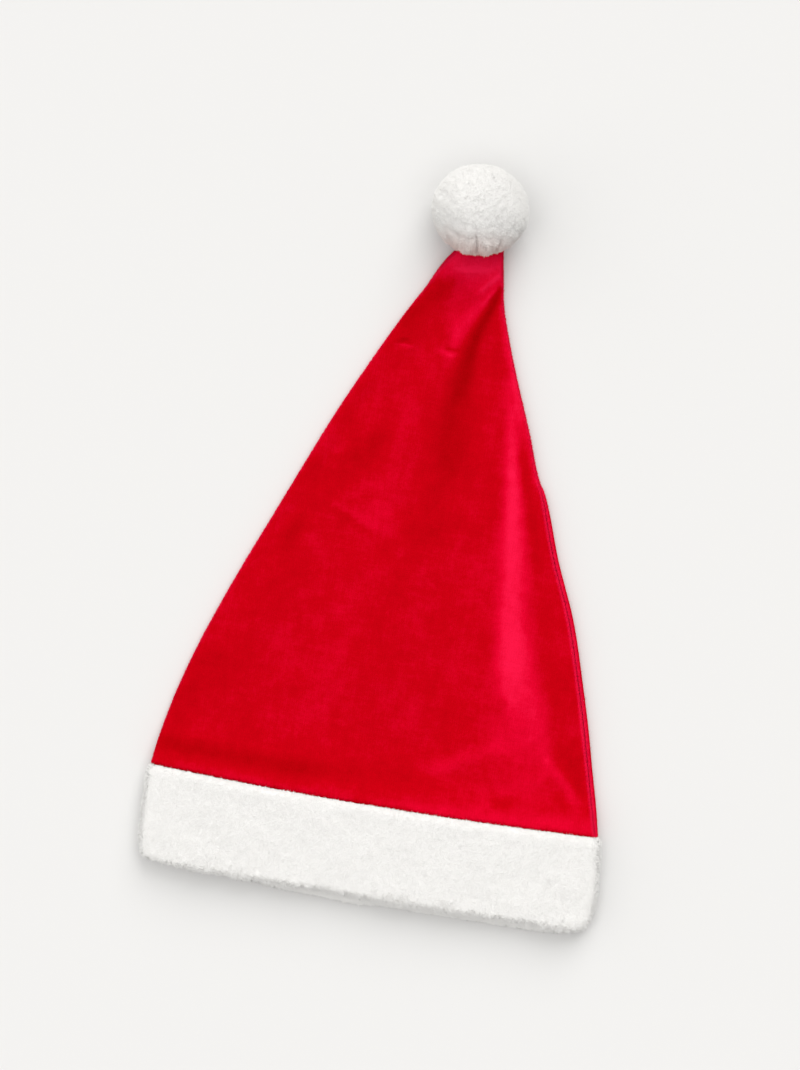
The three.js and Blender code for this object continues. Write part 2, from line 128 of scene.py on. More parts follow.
# Outline of the laid crown: height along the hat, and distances of the left and right edge from the middle
CROWN_SECTIONS = (
    (43, 107.6, 108.8), (57, 105.8, 105.8), (76, 102.2, 100.8), (95, 97.2, 95.8), (114, 91.1, 90.2),
    (143, 80.4, 81.0), (171, 69.1, 69.0), (202, 56.6, 57.2), (207, 54.6, 53.9), (228, 45.7, 45.9),
    (257, 32.1, 34.1), (276, 22.6, 27.1), (288, 16.0, 23.4), (298, 10.8, 21.5), (305, 6.6, 20.2), (311, 2.8, 19.2),
    (320, 0.8, 17.8),
)
LEFT, RIGHT = 1, 2

# Roll of the back panel over the right edge: height, and the turn from the outermost point up to the seam
RIGHT_SEAM = ((43, 55), (62, 80), (95, 90), (185, 90), (200, 70), (210, 20), (311, 10))

# Soft ridges of the front panel: three places on the line, width and height
RIDGES = (
    ((36, 238), (47, 168), (66, 78), 12, 3.0), ((21, 296), (2, 262), (-6, 218), 9, 3.0),
    ((-2, 300), (-12, 280), (-30, 244), 6, 1.2), ((46, 214), (70, 158), (95, 80), 6, 1.4),
    ((-52, 176), (-70, 128), (-84, 84), 16, 1.5), ((-8, 190), (-12, 130), (-20, 76), 22, 1.7),
    ((40, 76), (62, 66), (86, 60), 10, 1.2),
)
RIDGE_END_HEIGHT = 0.35

# Ends of the brim: height above its lower edge, and distances of the left and right end from the middle
BRIM_ENDS = (
    (-6, 96.0, 97.0), (-2, 102.0, 105.6), (1, 104.8, 109.0), (6, 106.4, 111.5), (12, 107.1, 112.2),
    (24, 107.9, 111.9), (36, 108.3, 110.7), (45, 108.4, 109.9),
)

# Lower edge of the brim: place across the hat, height of the front's fold and of the back's
BRIM_FOLD = (
    (-108, 0.6, 0.6), (-98, -0.2, 0.0), (-76, -1.9, -1.3), (-57, -1.8, -2.0), (-37, -1.3, -4.4), (-18, -0.7, -4.9),
    (2, -1.3, -5.7), (21, -2.3, -4.6), (40, -2.0, -4.9), (60, -1.5, -4.7), (79, -1.0, -4.6), (94, -1.6, -4.8),
    (104, -1.8, -3.6), (112, -0.6, -1.2),
)
FRONT_FOLD, BACK_FOLD = 1, 2

# Shoulder of the brim under the seam: share of its height, share of the wall's thickness, pull to the seam
BRIM_SHOULDER_FORM = ((0, 0, 1), (0.2, 0.6, 0.55), (0.55, 0.91, 0.15), (1, 1, 0))

# Little creases of the front panel. Each place on a crease: x, y, reach to its left, reach to its right, height
SMALL_CREASES = {
    "crease under the tip, left": (
        (-24, 260.5, 0.9, 1.6, -0.1), (-20.5, 262.2, 0.9, 1.6, -0.5), (-17, 262, 0.9, 1.6, -0.1),
    ),
    "crease under the tip, right": (
        (-2, 262.5, 0.9, 1.6, -0.1), (2, 261.6, 0.9, 1.6, -0.6), (5.5, 261.8, 0.9, 1.6, -0.1),
    ),
    "fold into the tip": ((20, 300, 1.2, 1.8, 0.7), (14.5, 295, 1.2, 1.8, 0.6), (10, 290, 1.4, 2, 0.2)),
    "second fold into the tip": ((19.5, 292.5, 1, 1.5, 0.6), (16.5, 288.5, 1, 1.5, 0.5), (14, 284, 1, 1.5, 0.1)),
    "crease across the tip": ((-2, 300, 1.5, 1.2, 0.2), (8, 301.2, 1.5, 1.2, 0.5), (16, 302.5, 1.5, 1.2, 0.2)),
    "press line on the left": (
        (-41, 181.5, 1.2, 2.2, 0.2), (-33, 178, 1.2, 2.2, 0.24), (-24, 173.5, 1.2, 2.2, 0.08),
    ),
    "pull at the lower right": ((80, 75, 1.5, 2.5, 0.3), (87, 68.5, 1.5, 2.5, 0.6), (95, 60, 1.5, 2.5, 0.3)),
    "soft pull above the brim": ((22, 63, 3, 5, 0.2), (34, 67.5, 3, 5, 0.5), (50, 76, 4, 5, 0.2)),
}

# How the front panel looks in strokes: partly how its pile was brushed, partly painted shade and painted highlight
# on its folds, creases and rolled edges, and painted light that lifts the ball's shadow on the tip. Each place on a
# stroke: x, y, reach to its left, reach to its right, and how light (up to 1) or dark (down to -1) it is painted there
FRONT_NAP_AND_PAINTED_SHADE = {
    # painted light on the tip below the ball, lifting the shade that the ball casts there
    "painted light below the ball": (
        (8, 310, 16, 16, 0.24), (8, 300, 14, 14, 0.24), (7, 290, 11, 13, 0.2), (6, 280, 8, 10, 0.16),
        (5, 270, 6, 8, 0.06),
    ),
    # partly lighter pile, partly painted highlight on the long fold's flank
    "light along the long fold": (
        (33, 250, 5, 4, 0.25), (36, 235, 4, 3.5, 0.5), (39, 215, 4, 3.5, 0.85), (42.5, 195, 6, 4, 1.0),
        (46, 172, 8, 5, 0.95), (48.5, 150, 9, 5.5, 0.9), (51.5, 126, 9, 5.5, 0.75), (54.5, 106, 10, 4, 0.4),
    ),
    "light spreading under the long fold": (
        (58, 132, 4, 10, 0.3), (64, 112, 6, 16, 0.5), (70, 96, 7, 20, 0.55), (75, 82, 6, 24, 0.42),
        (76, 70, 9, 26, 0.3), (66, 60, 14, 18, 0.22),
    ),
    "light pull at the lower right": (
        (76, 80, 2.5, 3, 0.2), (81, 74, 2.2, 3, 0.35), (88, 67.5, 2.2, 2.8, 0.45), (96, 59, 3, 4, 0.25),
    ),
    "light pull above the brim": (
        (20, 61.5, 4, 4, 0.12), (31, 66.5, 4, 4, 0.28), (42, 73, 4, 5, 0.25), (54, 78, 5, 5, 0.2),
    ),
    "light along the seam with the brim, right": (
        (-30, 44, 4, 4, 0.1), (0, 44, 4, 4, 0.2), (40, 44, 4.5, 4, 0.34), (80, 46, 5, 4, 0.34),
        (106, 48, 5, 4, 0.4),
    ),
    "light along the seam with the brim, left": (
        (-104, 47, 3.5, 4, 0.16), (-60, 45, 3.5, 4, 0.18), (-30, 44, 3.5, 4, 0.16),
    ),
    # painted highlight where the front panel rolls over the right edge
    "painted highlight at the rolled edge": (
        (58, 196, 1.4, 1.2, 0.5), (64.5, 178, 1.5, 1.2, 0.8), (72, 160, 1.6, 1.2, 0.9), (80, 139, 1.7, 1.2, 1.0),
        (86.5, 119, 1.8, 1.2, 1.0), (91.5, 101, 1.9, 1.2, 1.0), (96.5, 83, 1.9, 1.2, 0.95),
        (101.5, 66, 2, 1.2, 0.8), (106, 50, 2.2, 1.2, 0.6),
    ),
    "light at the right edge under the tip": (
        (22, 286, 1.5, 1.5, 0.35), (27, 270, 2.6, 1.5, 0.4), (32, 257, 4, 1.5, 0.45), (37, 243, 5, 1.5, 0.35),
        (45, 224, 2, 1.5, 0.3), (53, 205, 1.6, 1.5, 0.35),
    ),
    "light beside the tip's fold": (
        (14, 290, 5, 3, 0.2), (9, 279, 9, 3.5, 0.42), (4, 270, 12, 4, 0.5), (3, 259, 9, 4, 0.35),
        (0, 250, 9, 5, 0.1),
    ),
    # painted highlight on the folds into the tip and on the crease across it
    "painted highlight on the fold into the tip": (
        (19.5, 301, 1.1, 1.1, 0.55), (14.5, 295.5, 1.1, 1.1, 0.5), (10, 290.5, 1.3, 1.3, 0.2),
    ),
    "painted highlight on the second fold into the tip": (
        (18.5, 293.5, 0.9, 0.9, 0.35), (15.5, 289.5, 0.9, 0.9, 0.4), (13, 285, 1, 1, 0.15),
    ),
    "painted highlight on the crease across the tip": ((-1, 300.3, 1.4, 1.2, 0.15), (7, 301.4, 1.4, 1.2, 0.42), (15, 302.6, 1.4, 1.2, 0.3)),
    # painted light just under the ball, lifting the ball's shadow on the tip
    "painted light under the ball": ((-6, 303, 8, 9, 0.5), (5, 303, 9, 9, 0.62), (17, 305, 7, 8, 0.6)),
    # painted shade and painted highlight on the two little creases under the tip
    "painted shade above the crease, left": (
        (-25, 262.6, 0.7, 0.7, -0.2), (-21, 263.4, 0.8, 0.8, -0.6), (-17, 262.6, 0.7, 0.7, -0.2),
    ),
    "painted highlight under the crease, left": (
        (-25, 260, 1.2, 1.2, 0.1), (-20, 260.8, 1.2, 1.2, 0.5), (-15, 260.8, 1.2, 1.2, 0.1),
    ),
    "painted shade above the crease, right": (
        (-0.5, 262.8, 0.7, 0.7, -0.3), (2.2, 261.9, 0.8, 0.8, -0.7), (5.5, 262, 0.7, 0.7, -0.3),
    ),
    "painted highlight under the crease, right": (
        (-3, 261, 1.5, 1.5, 0.3), (2, 259.8, 1.3, 1.3, 0.45), (5, 260, 1.2, 1.2, 0.1),
    ),
    # painted shade in the valley beside the tip's fold
    "painted shade in the valley under the tip": (
        (20.2, 294, 1.6, 1.4, -0.7), (17.8, 285, 2.1, 2.2, -1.1), (13.8, 274, 3.0, 3.6, -1.1),
        (11.6, 264, 3.4, 5.0, -1.05), (10.4, 252, 4.4, 5.4, -0.9), (9, 240, 5.5, 6, -0.7), (8, 226, 8, 8, -0.45),
        (10, 210, 9, 9, -0.42), (7, 192, 9, 9, -0.25), (4, 165, 9, 10, -0.16),
    ),
    # painted shadow of the ball, falling to the left of the tip
    "painted shadow left of the tip": (
        (0, 297, 3, 3, -0.1), (-7, 290.5, 4.5, 3.8, -0.36), (-14, 281.5, 4, 4, -0.4), (-21, 272, 3.5, 3, -0.2),
    ),
    # partly darker pile, partly painted shade on the far flank of the long fold
    "dark beside the long fold": (
        (43, 219, 1.6, 2.5, -0.2), (48, 204, 2, 3.6, -0.35), (53, 188, 2.5, 4, -0.3), (59.5, 166, 3, 5, -0.2),
        (65, 146, 4, 7, -0.14), (72, 124, 4.5, 8, -0.08), (79, 104, 4, 8, -0.12), (85, 86, 3.5, 7, -0.15),
        (92, 74, 3.2, 5, -0.24), (97, 65, 2.2, 3, -0.3),
    ),
    "dark on the left": ((-52, 176, 5, 5, -0.15), (-58, 166, 4.5, 4, -0.48), (-60, 158, 4, 4, -0.25)),
    "dark slope on the left": (
        (-20, 226, 5, 5, -0.18), (-27, 214, 6, 5, -0.36), (-38, 201, 8, 6, -0.25), (-46, 188, 9, 8, -0.16),
    ),
    "painted shade above the seam with the brim": (
        (-103, 56, 4, 5, -0.5), (-75, 55, 5, 5, -0.55), (-45, 54, 5, 5, -0.55), (-22, 55, 5, 5, -0.38),
        (-4, 57, 6, 6, -0.2), (20, 57, 6, 6, -0.12),
    ),
    "dark spot above the brim": ((54, 54, 2.6, 2.6, -0.16), (61, 53, 2.8, 2.8, -0.4), (67, 54, 2.6, 2.6, -0.16)),
    "light wedge on the left": (
        (-41, 181, 1.4, 1.6, 0.3), (-33, 178, 3.0, 1.3, 0.26), (-24, 173, 6, 1.4, 0.2), (-14, 172, 7, 5, 0.14),
    ),
    "dark under the wedge": (
        (-40, 178.4, 1.4, 2.0, -0.14), (-33, 175.2, 1.4, 2.6, -0.14), (-25, 170.4, 1.4, 2.6, -0.1),
    ),
    "light swell in the middle": (
        (-12, 230, 6, 5, 0.2), (-16, 205, 9, 8, 0.14), (-24, 165, 14, 12, 0.1), (-32, 115, 16, 12, 0.12),
        (-34, 85, 14, 12, 0.12),
    ),
    "dark lower left": ((-88, 96, 9, 7, -0.12), (-98, 70, 7, 7, -0.14)),
}

# Painted shade and painted highlight of the back panel's soft creases and its rise to the brim, partly how its pile
# lies; the columns are as above
BACK_NAP_AND_PAINTED_SHADE = {
    "light along a press line": (
        (-40, 232, 5, 5, 0.25), (-46, 180, 8, 5, 0.5), (-58, 120, 10, 6, 0.45), (-70, 72, 10, 8, 0.25),
    ),
    "dark beside the press line": (
        (-52, 210, 4, 4, -0.25), (-62, 160, 4, 6, -0.35), (-76, 110, 5, 7, -0.35), (-90, 66, 4, 5, -0.25),
    ),
    "dark in the middle": (
        (6, 280, 4, 5, -0.4), (4, 240, 6, 6, -0.35), (8, 180, 9, 9, -0.22), (6, 110, 12, 12, -0.15),
    ),
    "light on the other side": ((40, 200, 8, 8, 0.14), (50, 140, 12, 12, 0.2), (56, 84, 14, 14, 0.14)),
    "light along the seam with the brim": ((-104, 47, 4, 4, 0.3), (0, 44, 4, 4, 0.35), (104, 47, 4, 4, 0.3)),
    "painted shade above the seam with the brim": ((-90, 56, 5, 5, -0.25), (0, 55, 5, 5, -0.3), (90, 56, 5, 5, -0.2)),
}

EDGE_PAINTED_HIGHLIGHT = 1.0  # painted highlight on the rolled edges, where the standing pile catches the light
RIM_SOFTNESS = 3.0  # how far the light on those edges is turned up

# Fineness of the meshes
FRONT_ROWS, FRONT_COLUMNS = 196, 118
BACK_ROWS, BACK_COLUMNS = 150, 84
CROWN_ROW_SPREAD = 0.5
EDGE_STEPS = (0, 0.05, 0.16, 0.34, 0.58, 0.9, 1.3, 1.8, 2.5, 3.4, 4.6, 6.2)
BRIM_FRONT_STEPS, BRIM_BACK_STEPS, BRIM_TURN_STEPS = 380, 230, 22
BALL_RINGS, BALL_MERIDIANS = 124, 250

# Tones of the finishes, in linear light. By the tip the plush turns a little rosy: painted red light thrown back
# from the velour, brighter than white to lift the shade on the ball's underside
# the velour's tones run from painted shade to a pinker painted highlight, standing in for its sheen
VELOUR_TONES = (
    (0.0, (0.31, 0.0, 0.001)), (0.3, (0.42, 0.0, 0.003)), (0.5, (0.5, 0.0, 0.005)), (0.75, (0.67, 0.001, 0.022)),
    (1.0, (0.82, 0.007, 0.05)),
)
PLUSH_WHITE = (0.928, 0.917, 0.893)
# painted red bounce light by the tip, with red above 1 to lift the shade on the ball's underside
PAINTED_RED_BOUNCE = (1.08, 0.84, 0.79)
PAINTED_BOUNCE_MIDDLE, PAINTED_BOUNCE_REACH = (6.0, 310.0, 12.0), (0.005, 0.027)
FLOOR_WHITE = (0.73, 0.722, 0.708)

# Unevenness: how many waves are summed, and the height that they reach together
WAVES, WAVES_HEIGHT = 7, 2.6


def smoothstep(low, high, value):
    share = np.clip((value - low) / (high - low), 0, 1)
    return share * share * (3 - 2 * share)


def mix(a, b, share):
    return a + (b - a) * share


def along(rows, column, at):
    """Reads a column of a table between its rows, by a cubic that never overshoots them."""
    places = np.array([row[0] for row in rows], float)
    values = np.array([row[column] for row in rows], float)
    steps = np.diff(places)
    slopes = np.diff(values) / steps
    product = slopes[:-1] * slopes[1:]
    total = np.where(product > 0, slopes[:-1] + slopes[1:], 1)
    inner = np.where(product > 0, 2 * product / total, 0)
    tangents = np.concatenate(([slopes[0]], inner, [slopes[-1]]))
    at = np.clip(at, places[0], places[-1])
    row = np.clip(np.searchsorted(places, at, side="right") - 1, 0, len(steps) - 1)
    step = steps[row]
    t = (at - places[row]) / step
    return (
        (2 * t**3 - 3 * t**2 + 1) * values[row]
        + (t**3 - 2 * t**2 + t) * step * tangents[row]
        + (3 * t**2 - 2 * t**3) * values[row + 1]
        + (t**3 - t**2) * step * tangents[row + 1]
    )


def unevenness(points, size, seed):
    """Soft unevenness between about -1 and 1 with swells of one size, from a few crossed waves."""
    rng = np.random.default_rng(seed)
    total = np.zeros(points.shape[:-1])
    for _ in range(WAVES):
        direction = rng.normal(size=3)
        direction *= 2 * math.pi / (size * rng.uniform(0.8, 1.6) * np.linalg.norm(direction))
        total += np.sin(points @ direction + rng.uniform(0, 2 * math.pi))
    return total / WAVES_HEIGHT


def nearest_on_line(line, x, y):
    """For each place: distance to a line, share of the way along it, and whether it lies to the line's left."""
    nearest = np.full(x.shape, np.inf)
    share = np.zeros(x.shape)
    left = np.zeros(x.shape, bool)
    for i in range(len(line) - 1):
        step = line[i + 1] - line[i]
        from_x, from_y = x - line[i][0], y - line[i][1]
        t = np.clip((from_x * step[0] + from_y * step[1]) / (step @ step), 0, 1)
        distance = np.hypot(from_x - t * step[0], from_y - t * step[1])
        closer = distance < nearest
        nearest = np.where(closer, distance, nearest)
        share = np.where(closer, (i + t) / (len(line) - 1), share)
        left = np.where(closer, step[0] * from_y - step[1] * from_x > 0, left)
    return nearest, share, left


def ridge_line(start, through, end):
    """The line of a soft ridge, as a curve through its three places."""
    start, through, end = (np.array(place, float) for place in (start, through, end))
    control = 2 * through - (start + end) / 2
    t = np.linspace(0, 1, 25)[:, None]
    return (1 - t) ** 2 * start + 2 * t * (1 - t) * control + t**2 * end


def ridge_height(x, y):
    total = np.zeros(np.broadcast(x, y).shape)
    x, y = np.broadcast_arrays(x, y)
    for start, through, end, width, height in RIDGES:
        nearest, share, _ = nearest_on_line(ridge_line(start, through, end), x, y)
        taper = mix(RIDGE_END_HEIGHT, 1, np.sin(math.pi * share))
        total += height * taper * np.exp(-((nearest / width) ** 2))
    return total


def stroke_sum(strokes, x, y):
    """Sums soft strokes, each along a smooth curve with its own reach on either side and its own strength."""
    total = np.zeros(x.shape)
    for places in strokes.values():
        table = np.array(places, float)
        spans = np.arange(len(table), dtype=float)
        rows = np.column_stack([spans, table])
        t = np.linspace(0, len(table) - 1, 6 * (len(table) - 1) + 1)
        columns = [along(rows, column, t) for column in range(1, 6)]
        line = np.column_stack(columns[:2])
        nearest, share, left = nearest_on_line(line, x, y)
        at = share * (len(t) - 1)
        reach_left, reach_right, strength = (np.interp(at, np.arange(len(t)), column) for column in columns[2:])
        reach = np.where(left, reach_left, reach_right)
        total += strength * np.exp(-((nearest / reach) ** 2))
    return total


# Crown


def hem_rise(x):
    return np.where(x < 0, HEM_RISE_LEFT, HEM_RISE_RIGHT) * (x / HEM_HALF) ** 2


def ball_front(x, z):
    """Where the ball's surface lies over a place of the crown's tip."""
    across = (np.clip(x - BALL_MIDDLE[0], -BALL_SEAM_HALF, BALL_SEAM_HALF) / (BALL_HALF[0] + SEAM_GAP)) ** 2
    up = ((np.maximum(z, TIP_BACK_Z - VELOUR) - BALL_MIDDLE[2]) / (BALL_HALF[2] + SEAM_GAP)) ** 2
    return BALL_MIDDLE[1] - (BALL_HALF[1] + SEAM_GAP) * np.sqrt(1 - across - up)


def row_shift(share, x, z):
    """How far a row is bent along the hat: the hem curves up at the sides, and the tip follows the ball."""
    hem = (hem_rise(x) + SEAM_GAP / 2) * (1 - smoothstep(0, HEM_FADE, share))
    tip = (ball_front(x, z) - TIP_Y) * smoothstep(1 - TIP_FADE, 1, share)
    return hem + tip


class CrownSections:
    """Cross sections of the flattened crown, one for each row, from the hem to the tip."""

    def __init__(self, rows):
        even = np.linspace(0, 1, rows + 1)[:, None]
        self.share = even - CROWN_ROW_SPREAD * np.sin(2 * math.pi * even) / (2 * math.pi)
        self.y = mix(HEM_Y, TIP_Y, self.share)
        self.near_hem = 1 - smoothstep(0, HEM_SLOPE_FRONT, self.y - HEM_Y)
        self.near_tip = smoothstep(0, TIP_SLOPE, self.y - (TIP_Y - TIP_SLOPE))
        lift = (HEM_BACK_Z - VELOUR / 2) * (1 - smoothstep(0, HEM_SLOPE_BACK, self.y - HEM_Y))
        lift = lift + (TIP_BACK_Z - VELOUR / 2) * self.near_tip
        self.edge_gap = mix(mix(EDGE_GAP, HEM_GAP, self.near_hem), TIP_GAP, self.near_tip)
        self.back_z = VELOUR / 2 + lift
        self.radius = (VELOUR + self.edge_gap) / 2
        self.turn = np.radians(along(RIGHT_SEAM, 1, self.y))
        self.left = self.edge(LEFT, -1)
        self.right = self.edge(RIGHT, 1)

    def edge(self, side, sign):
        x = sign * along(CROWN_SECTIONS, side, self.y)
        for _ in range(3):
            x = sign * along(CROWN_SECTIONS, side, self.y + row_shift(self.share, x, self.back_z + self.radius))
        return x

    def gap(self, x):
        """Clear height between the two panels."""
        ridges = ridge_height(x, self.y)
        middle = mix(mix(REST_GAP, HEM_GAP, self.near_hem), TIP_GAP_MIDDLE, self.near_tip)
        from_edge = np.minimum(x - self.left, self.right - x) - self.radius
        room = MOST_GAP - middle
        lifted = middle + room * (1 - np.exp(-ridges / room))
        return np.maximum(LEAST_GAP, mix(lifted, self.edge_gap, 1 - smoothstep(0, EDGE_FADE, from_edge)))

    def loop_end(self, side, turn):
        edge = self.right - VELOUR / 2 if side > 0 else self.left + VELOUR / 2
        x = edge - side * self.radius * (1 - np.cos(turn))
        z = self.back_z + self.radius * (1 + np.sin(turn))
        return x, z, side * np.cos(turn), np.sin(turn)

    def path(self, columns, front):
        """A panel's middle line: places, directions and distances from its nearest side seam."""
        sign = 1 if front else -1
        left_arc = self.radius * math.pi / 2
        right_arc = self.radius * (math.pi / 2 - sign * self.turn)
        inset = VELOUR / 2 + self.radius
        straight = self.right - self.left - 2 * inset
        length = left_arc + straight + right_arc
        edge = np.array(EDGE_STEPS)[None, :] * np.minimum(1, length / 30)
        inner = edge[:, -1:] + (length - 2 * edge[:, -1:]) * np.linspace(0, 1, columns + 1)[None, 1:-1]
        distance = np.hstack([edge, inner, length - edge[:, ::-1]])
        distance = np.clip(distance, SEAM_GAP / 2, length - SEAM_GAP / 2)
        on_left = self.loop_end(-1, sign * distance / self.radius)
        on_right = self.loop_end(1, sign * (math.pi / 2 - (distance - left_arc - straight) / self.radius))
        flat = (
            self.left + inset + distance - left_arc,
            self.back_z + (2 * self.radius if front else 0),
            np.zeros(distance.shape),
            np.full(distance.shape, float(sign)),
        )
        place = [
            np.where(distance < left_arc, a, np.where(distance > left_arc + straight, b, c))
            for a, b, c in zip(on_left, on_right, flat)
        ]
        to_seam = np.minimum(distance, length - distance) - SEAM_GAP / 2
        return place, to_seam


def rounded(distance, radius):
    """Share of a wall's thickness beside its cut edge, which is rounded over."""
    inside = 1 - np.clip(distance / radius, 0, 1)
    return np.sqrt(np.maximum(1 - inside**2, 0.03))


def crown_panel(rows, columns, front):
    """The two faces of a panel as grids of points, with the pile's tone and painted shade, and the distance from its
    edges.
    """
    sections = CrownSections(rows)
    (x, z, nx, nz), to_seam = sections.path(columns, front)
    to_hem = (sections.y - HEM_Y) + 0 * x
    to_tip = (TIP_Y - sections.y) + 0 * x
    thickness = VELOUR * rounded(to_seam, 0.8) * rounded(to_hem, 0.9) * rounded(to_tip, 0.9)
    level = np.stack([x, sections.y + 0 * x, 0 * x], -1)
    grids = []
    for sign in (1, -1):
        half = sign * thickness / 2
        across = x + nx * half
        height = z + nz * half
        if front:
            creases = (sections.gap(x) - sections.edge_gap) * smoothstep(0.6, 1, nz)
            soft = 0.09 * unevenness(level, 26, 3) + 0.05 * unevenness(level, 9, 5)
            free = smoothstep(0, 5, to_seam) * smoothstep(0, 6, to_hem) * smoothstep(0, 5, to_tip)
            small = stroke_sum(SMALL_CREASES, across, sections.y + 0 * x)
            height = height + creases + (soft + small) * free
        y = sections.y + row_shift(sections.share, across, height)
        grids.append(np.stack([across, y, height], -1))
    nap = stroke_sum(FRONT_NAP_AND_PAINTED_SHADE if front else BACK_NAP_AND_PAINTED_SHADE, grids[0][..., 0], grids[0][..., 1])
    # painted highlight along the rolled side edges of both panels
    nap = nap + EDGE_PAINTED_HIGHLIGHT * (1 - smoothstep(0.3, 1.9, to_seam + 0 * nap))
    to_edge = np.minimum(np.minimum(to_seam, to_hem), to_tip)
    return grids, nap, to_edge


# Brim


def brim_stations():
    """Places round the ring: across the hat, and the direction out of the wall."""
    turn = np.arange(BRIM_TURN_STEPS) / BRIM_TURN_STEPS
    up, down = math.pi * (turn - 0.5), math.pi * (0.5 - turn)
    front = np.arange(BRIM_FRONT_STEPS) / BRIM_FRONT_STEPS
    back = 1 - np.arange(BRIM_BACK_STEPS) / BRIM_BACK_STEPS
    across = np.concatenate([0 * up, front, 0 * down + 1, back])
    nx = np.concatenate([-np.cos(up), 0 * front, np.cos(down), 0 * back])
    nz = np.concatenate([np.sin(up), 0 * front + 1, np.sin(down), 0 * back - 1])
    return across[:, None], nx[:, None], nz[:, None]


def brim_grid(pile):
    """The brim's wall, its cloth lying below the pile's ends: rings of points, and the pile's length at each."""
    across, nx, nz = brim_stations()
    inset = BRIM_WALL / 2 + BRIM_LOOP

    def place(y, offset, seam):
        left = -along(BRIM_ENDS, LEFT, y) + inset
        right = along(BRIM_ENDS, RIGHT, y) - inset
        seam_radius = (VELOUR + HEM_GAP) / 2
        reach = mix(BRIM_LOOP, seam_radius, seam) + offset
        centre = mix(inset, HEM_BACK_Z + seam_radius, seam)
        return mix(left, right, across) + nx * reach, centre + nz * reach

    belly_x, _ = place(np.full(across.shape, BRIM_WALL), BRIM_WALL / 2, 0)
    top = HEM_Y + hem_rise(belly_x) - SEAM_GAP / 2
    bottom = mix(along(BRIM_FOLD, BACK_FOLD, belly_x), along(BRIM_FOLD, FRONT_FOLD, belly_x), (1 + nz) / 2)
    half = BRIM_WALL / 2

    down = np.array([0, 0.04, 0.1, 0.18, 0.28, 0.4, 0.55, 0.75, 1.0])[None, :]
    thickness = along(BRIM_SHOULDER_FORM, 1, down)
    least = BRIM_LEAST_HALF * rounded(down * BRIM_SHOULDER, 0.5)
    shoulder = (
        top - BRIM_SHOULDER * down,
        np.maximum(least, mix(BRIM_SEAM_HALF, half, thickness) - pile * thickness ** 0.5) + 0 * top,
        along(BRIM_SHOULDER_FORM, 2, down) + 0 * top,
    )
    body_share = np.linspace(0, 1, 14)[None, 1:-1]
    level = 0 * (top + body_share)
    body = (mix(top - BRIM_SHOULDER, bottom + half, body_share), half - pile + level, level)
    angle = np.radians(np.linspace(90, 0, 9))[None, :]
    round_fold = half - pile
    fold = (bottom + half - round_fold * np.cos(angle), round_fold * np.sin(angle) + 0 * top, 0 * (top + angle))
    y, offset, seam = (np.hstack([a + 0 * top, b + 0 * top, c + 0 * top]) for a, b, c in zip(shoulder, body, fold))
    y, seam = (np.hstack([grid, grid[:, -2::-1]]) for grid in (y, seam))
    offset = np.hstack([offset, -offset[:, -2::-1]])
    x, z = place(y, offset, seam)
    points = np.stack([x, y, z], -1)
    outside = np.arange(points.shape[1]) < points.shape[1] / 2
    return points, nz + 0 * x, outside[None, :] + 0 * x


# Ball


def ball_axes():
    """Directions from the ball's middle: towards the seam, and two across that."""
    tip_x = (CROWN_SECTIONS[-1][RIGHT] - CROWN_SECTIONS[-1][LEFT]) / 2
    tip = np.array([tip_x, TIP_Y, TIP_BACK_Z + TIP_GAP / 2])
    pole = (tip - BALL_MIDDLE) / BALL_HALF
    pole /= np.linalg.norm(pole)
    side = np.cross([0, 0, 1], pole)
    side /= np.linalg.norm(side)
    return pole, side, np.cross(pole, side)


def ball_grid(pile):
    pole, side, over = ball_axes()
    polar = math.pi * (np.linspace(0, 1, BALL_RINGS + 1)[1:-1, None]) ** BALL_RING_SPREAD
    turn = np.linspace(0, 2 * math.pi, BALL_MERIDIANS, endpoint=False)[None, :]
    fade = smoothstep(0, BALL_GATHER_START, polar) * np.exp(-((polar / BALL_GATHER_REACH) ** 2))
    gather = np.abs(np.sin(turn * BALL_GATHERS / 2)) - BALL_GATHER_CREST
    radius = np.minimum(1 + BALL_GATHER_DEPTH * gather * fade, 1)
    radius = radius - BALL_DIMPLE * np.exp(-((polar / BALL_DIMPLE_REACH) ** 2))

    def place(polar, turn, radius):
        direction = (
            np.cos(polar)[..., None] * pole
            + (np.sin(polar) * np.cos(turn))[..., None] * side
            + (np.sin(polar) * np.sin(turn))[..., None] * over
        )
        points = BALL_MIDDLE + direction * (BALL_HALF - pile) * radius[..., None]
        upper = smoothstep(-0.1, 0.35, direction[..., 2])
        near_seam = 1 - smoothstep(0.6, 1.5, polar + 0 * turn)
        tufts = (
            0.2 * unevenness(points, 11, 8)
            + mix(0.08, 0.3, near_seam) * unevenness(points, 3.6, 31)
            + mix(0.04, 0.15, near_seam) * unevenness(points, 1.9, 32)
        )
        broken = 1 + 0.5 * unevenness(points, 4.5, 33)
        tufts = tufts + stroke_sum(BALL_PUCKERS, points[..., 0], points[..., 1]) * upper * broken
        points = points + direction * tufts[..., None]
        points[..., 2] = np.maximum(points[..., 2], BALL_LOWEST)
        return points

    rings = place(polar + 0 * turn, turn + 0 * polar, radius)
    ends = place(np.array([0.0, math.pi]), np.zeros(2), np.array([1 - BALL_DIMPLE, 1.0]))
    return rings, ends


# Meshes

_, BALL_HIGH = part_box("ball")
MIDDLE = np.array([
    BALL_MIDDLE[0] + BALL_HALF[0] - BALL_HIGH[0] * 1000,
    BALL_MIDDLE[1] + BALL_HALF[1] - BALL_HIGH[1] * 1000,
    0.0,
])


def in_row_frame(points):
    return (np.asarray(points, float).reshape(-1, 3) - MIDDLE) / 1000


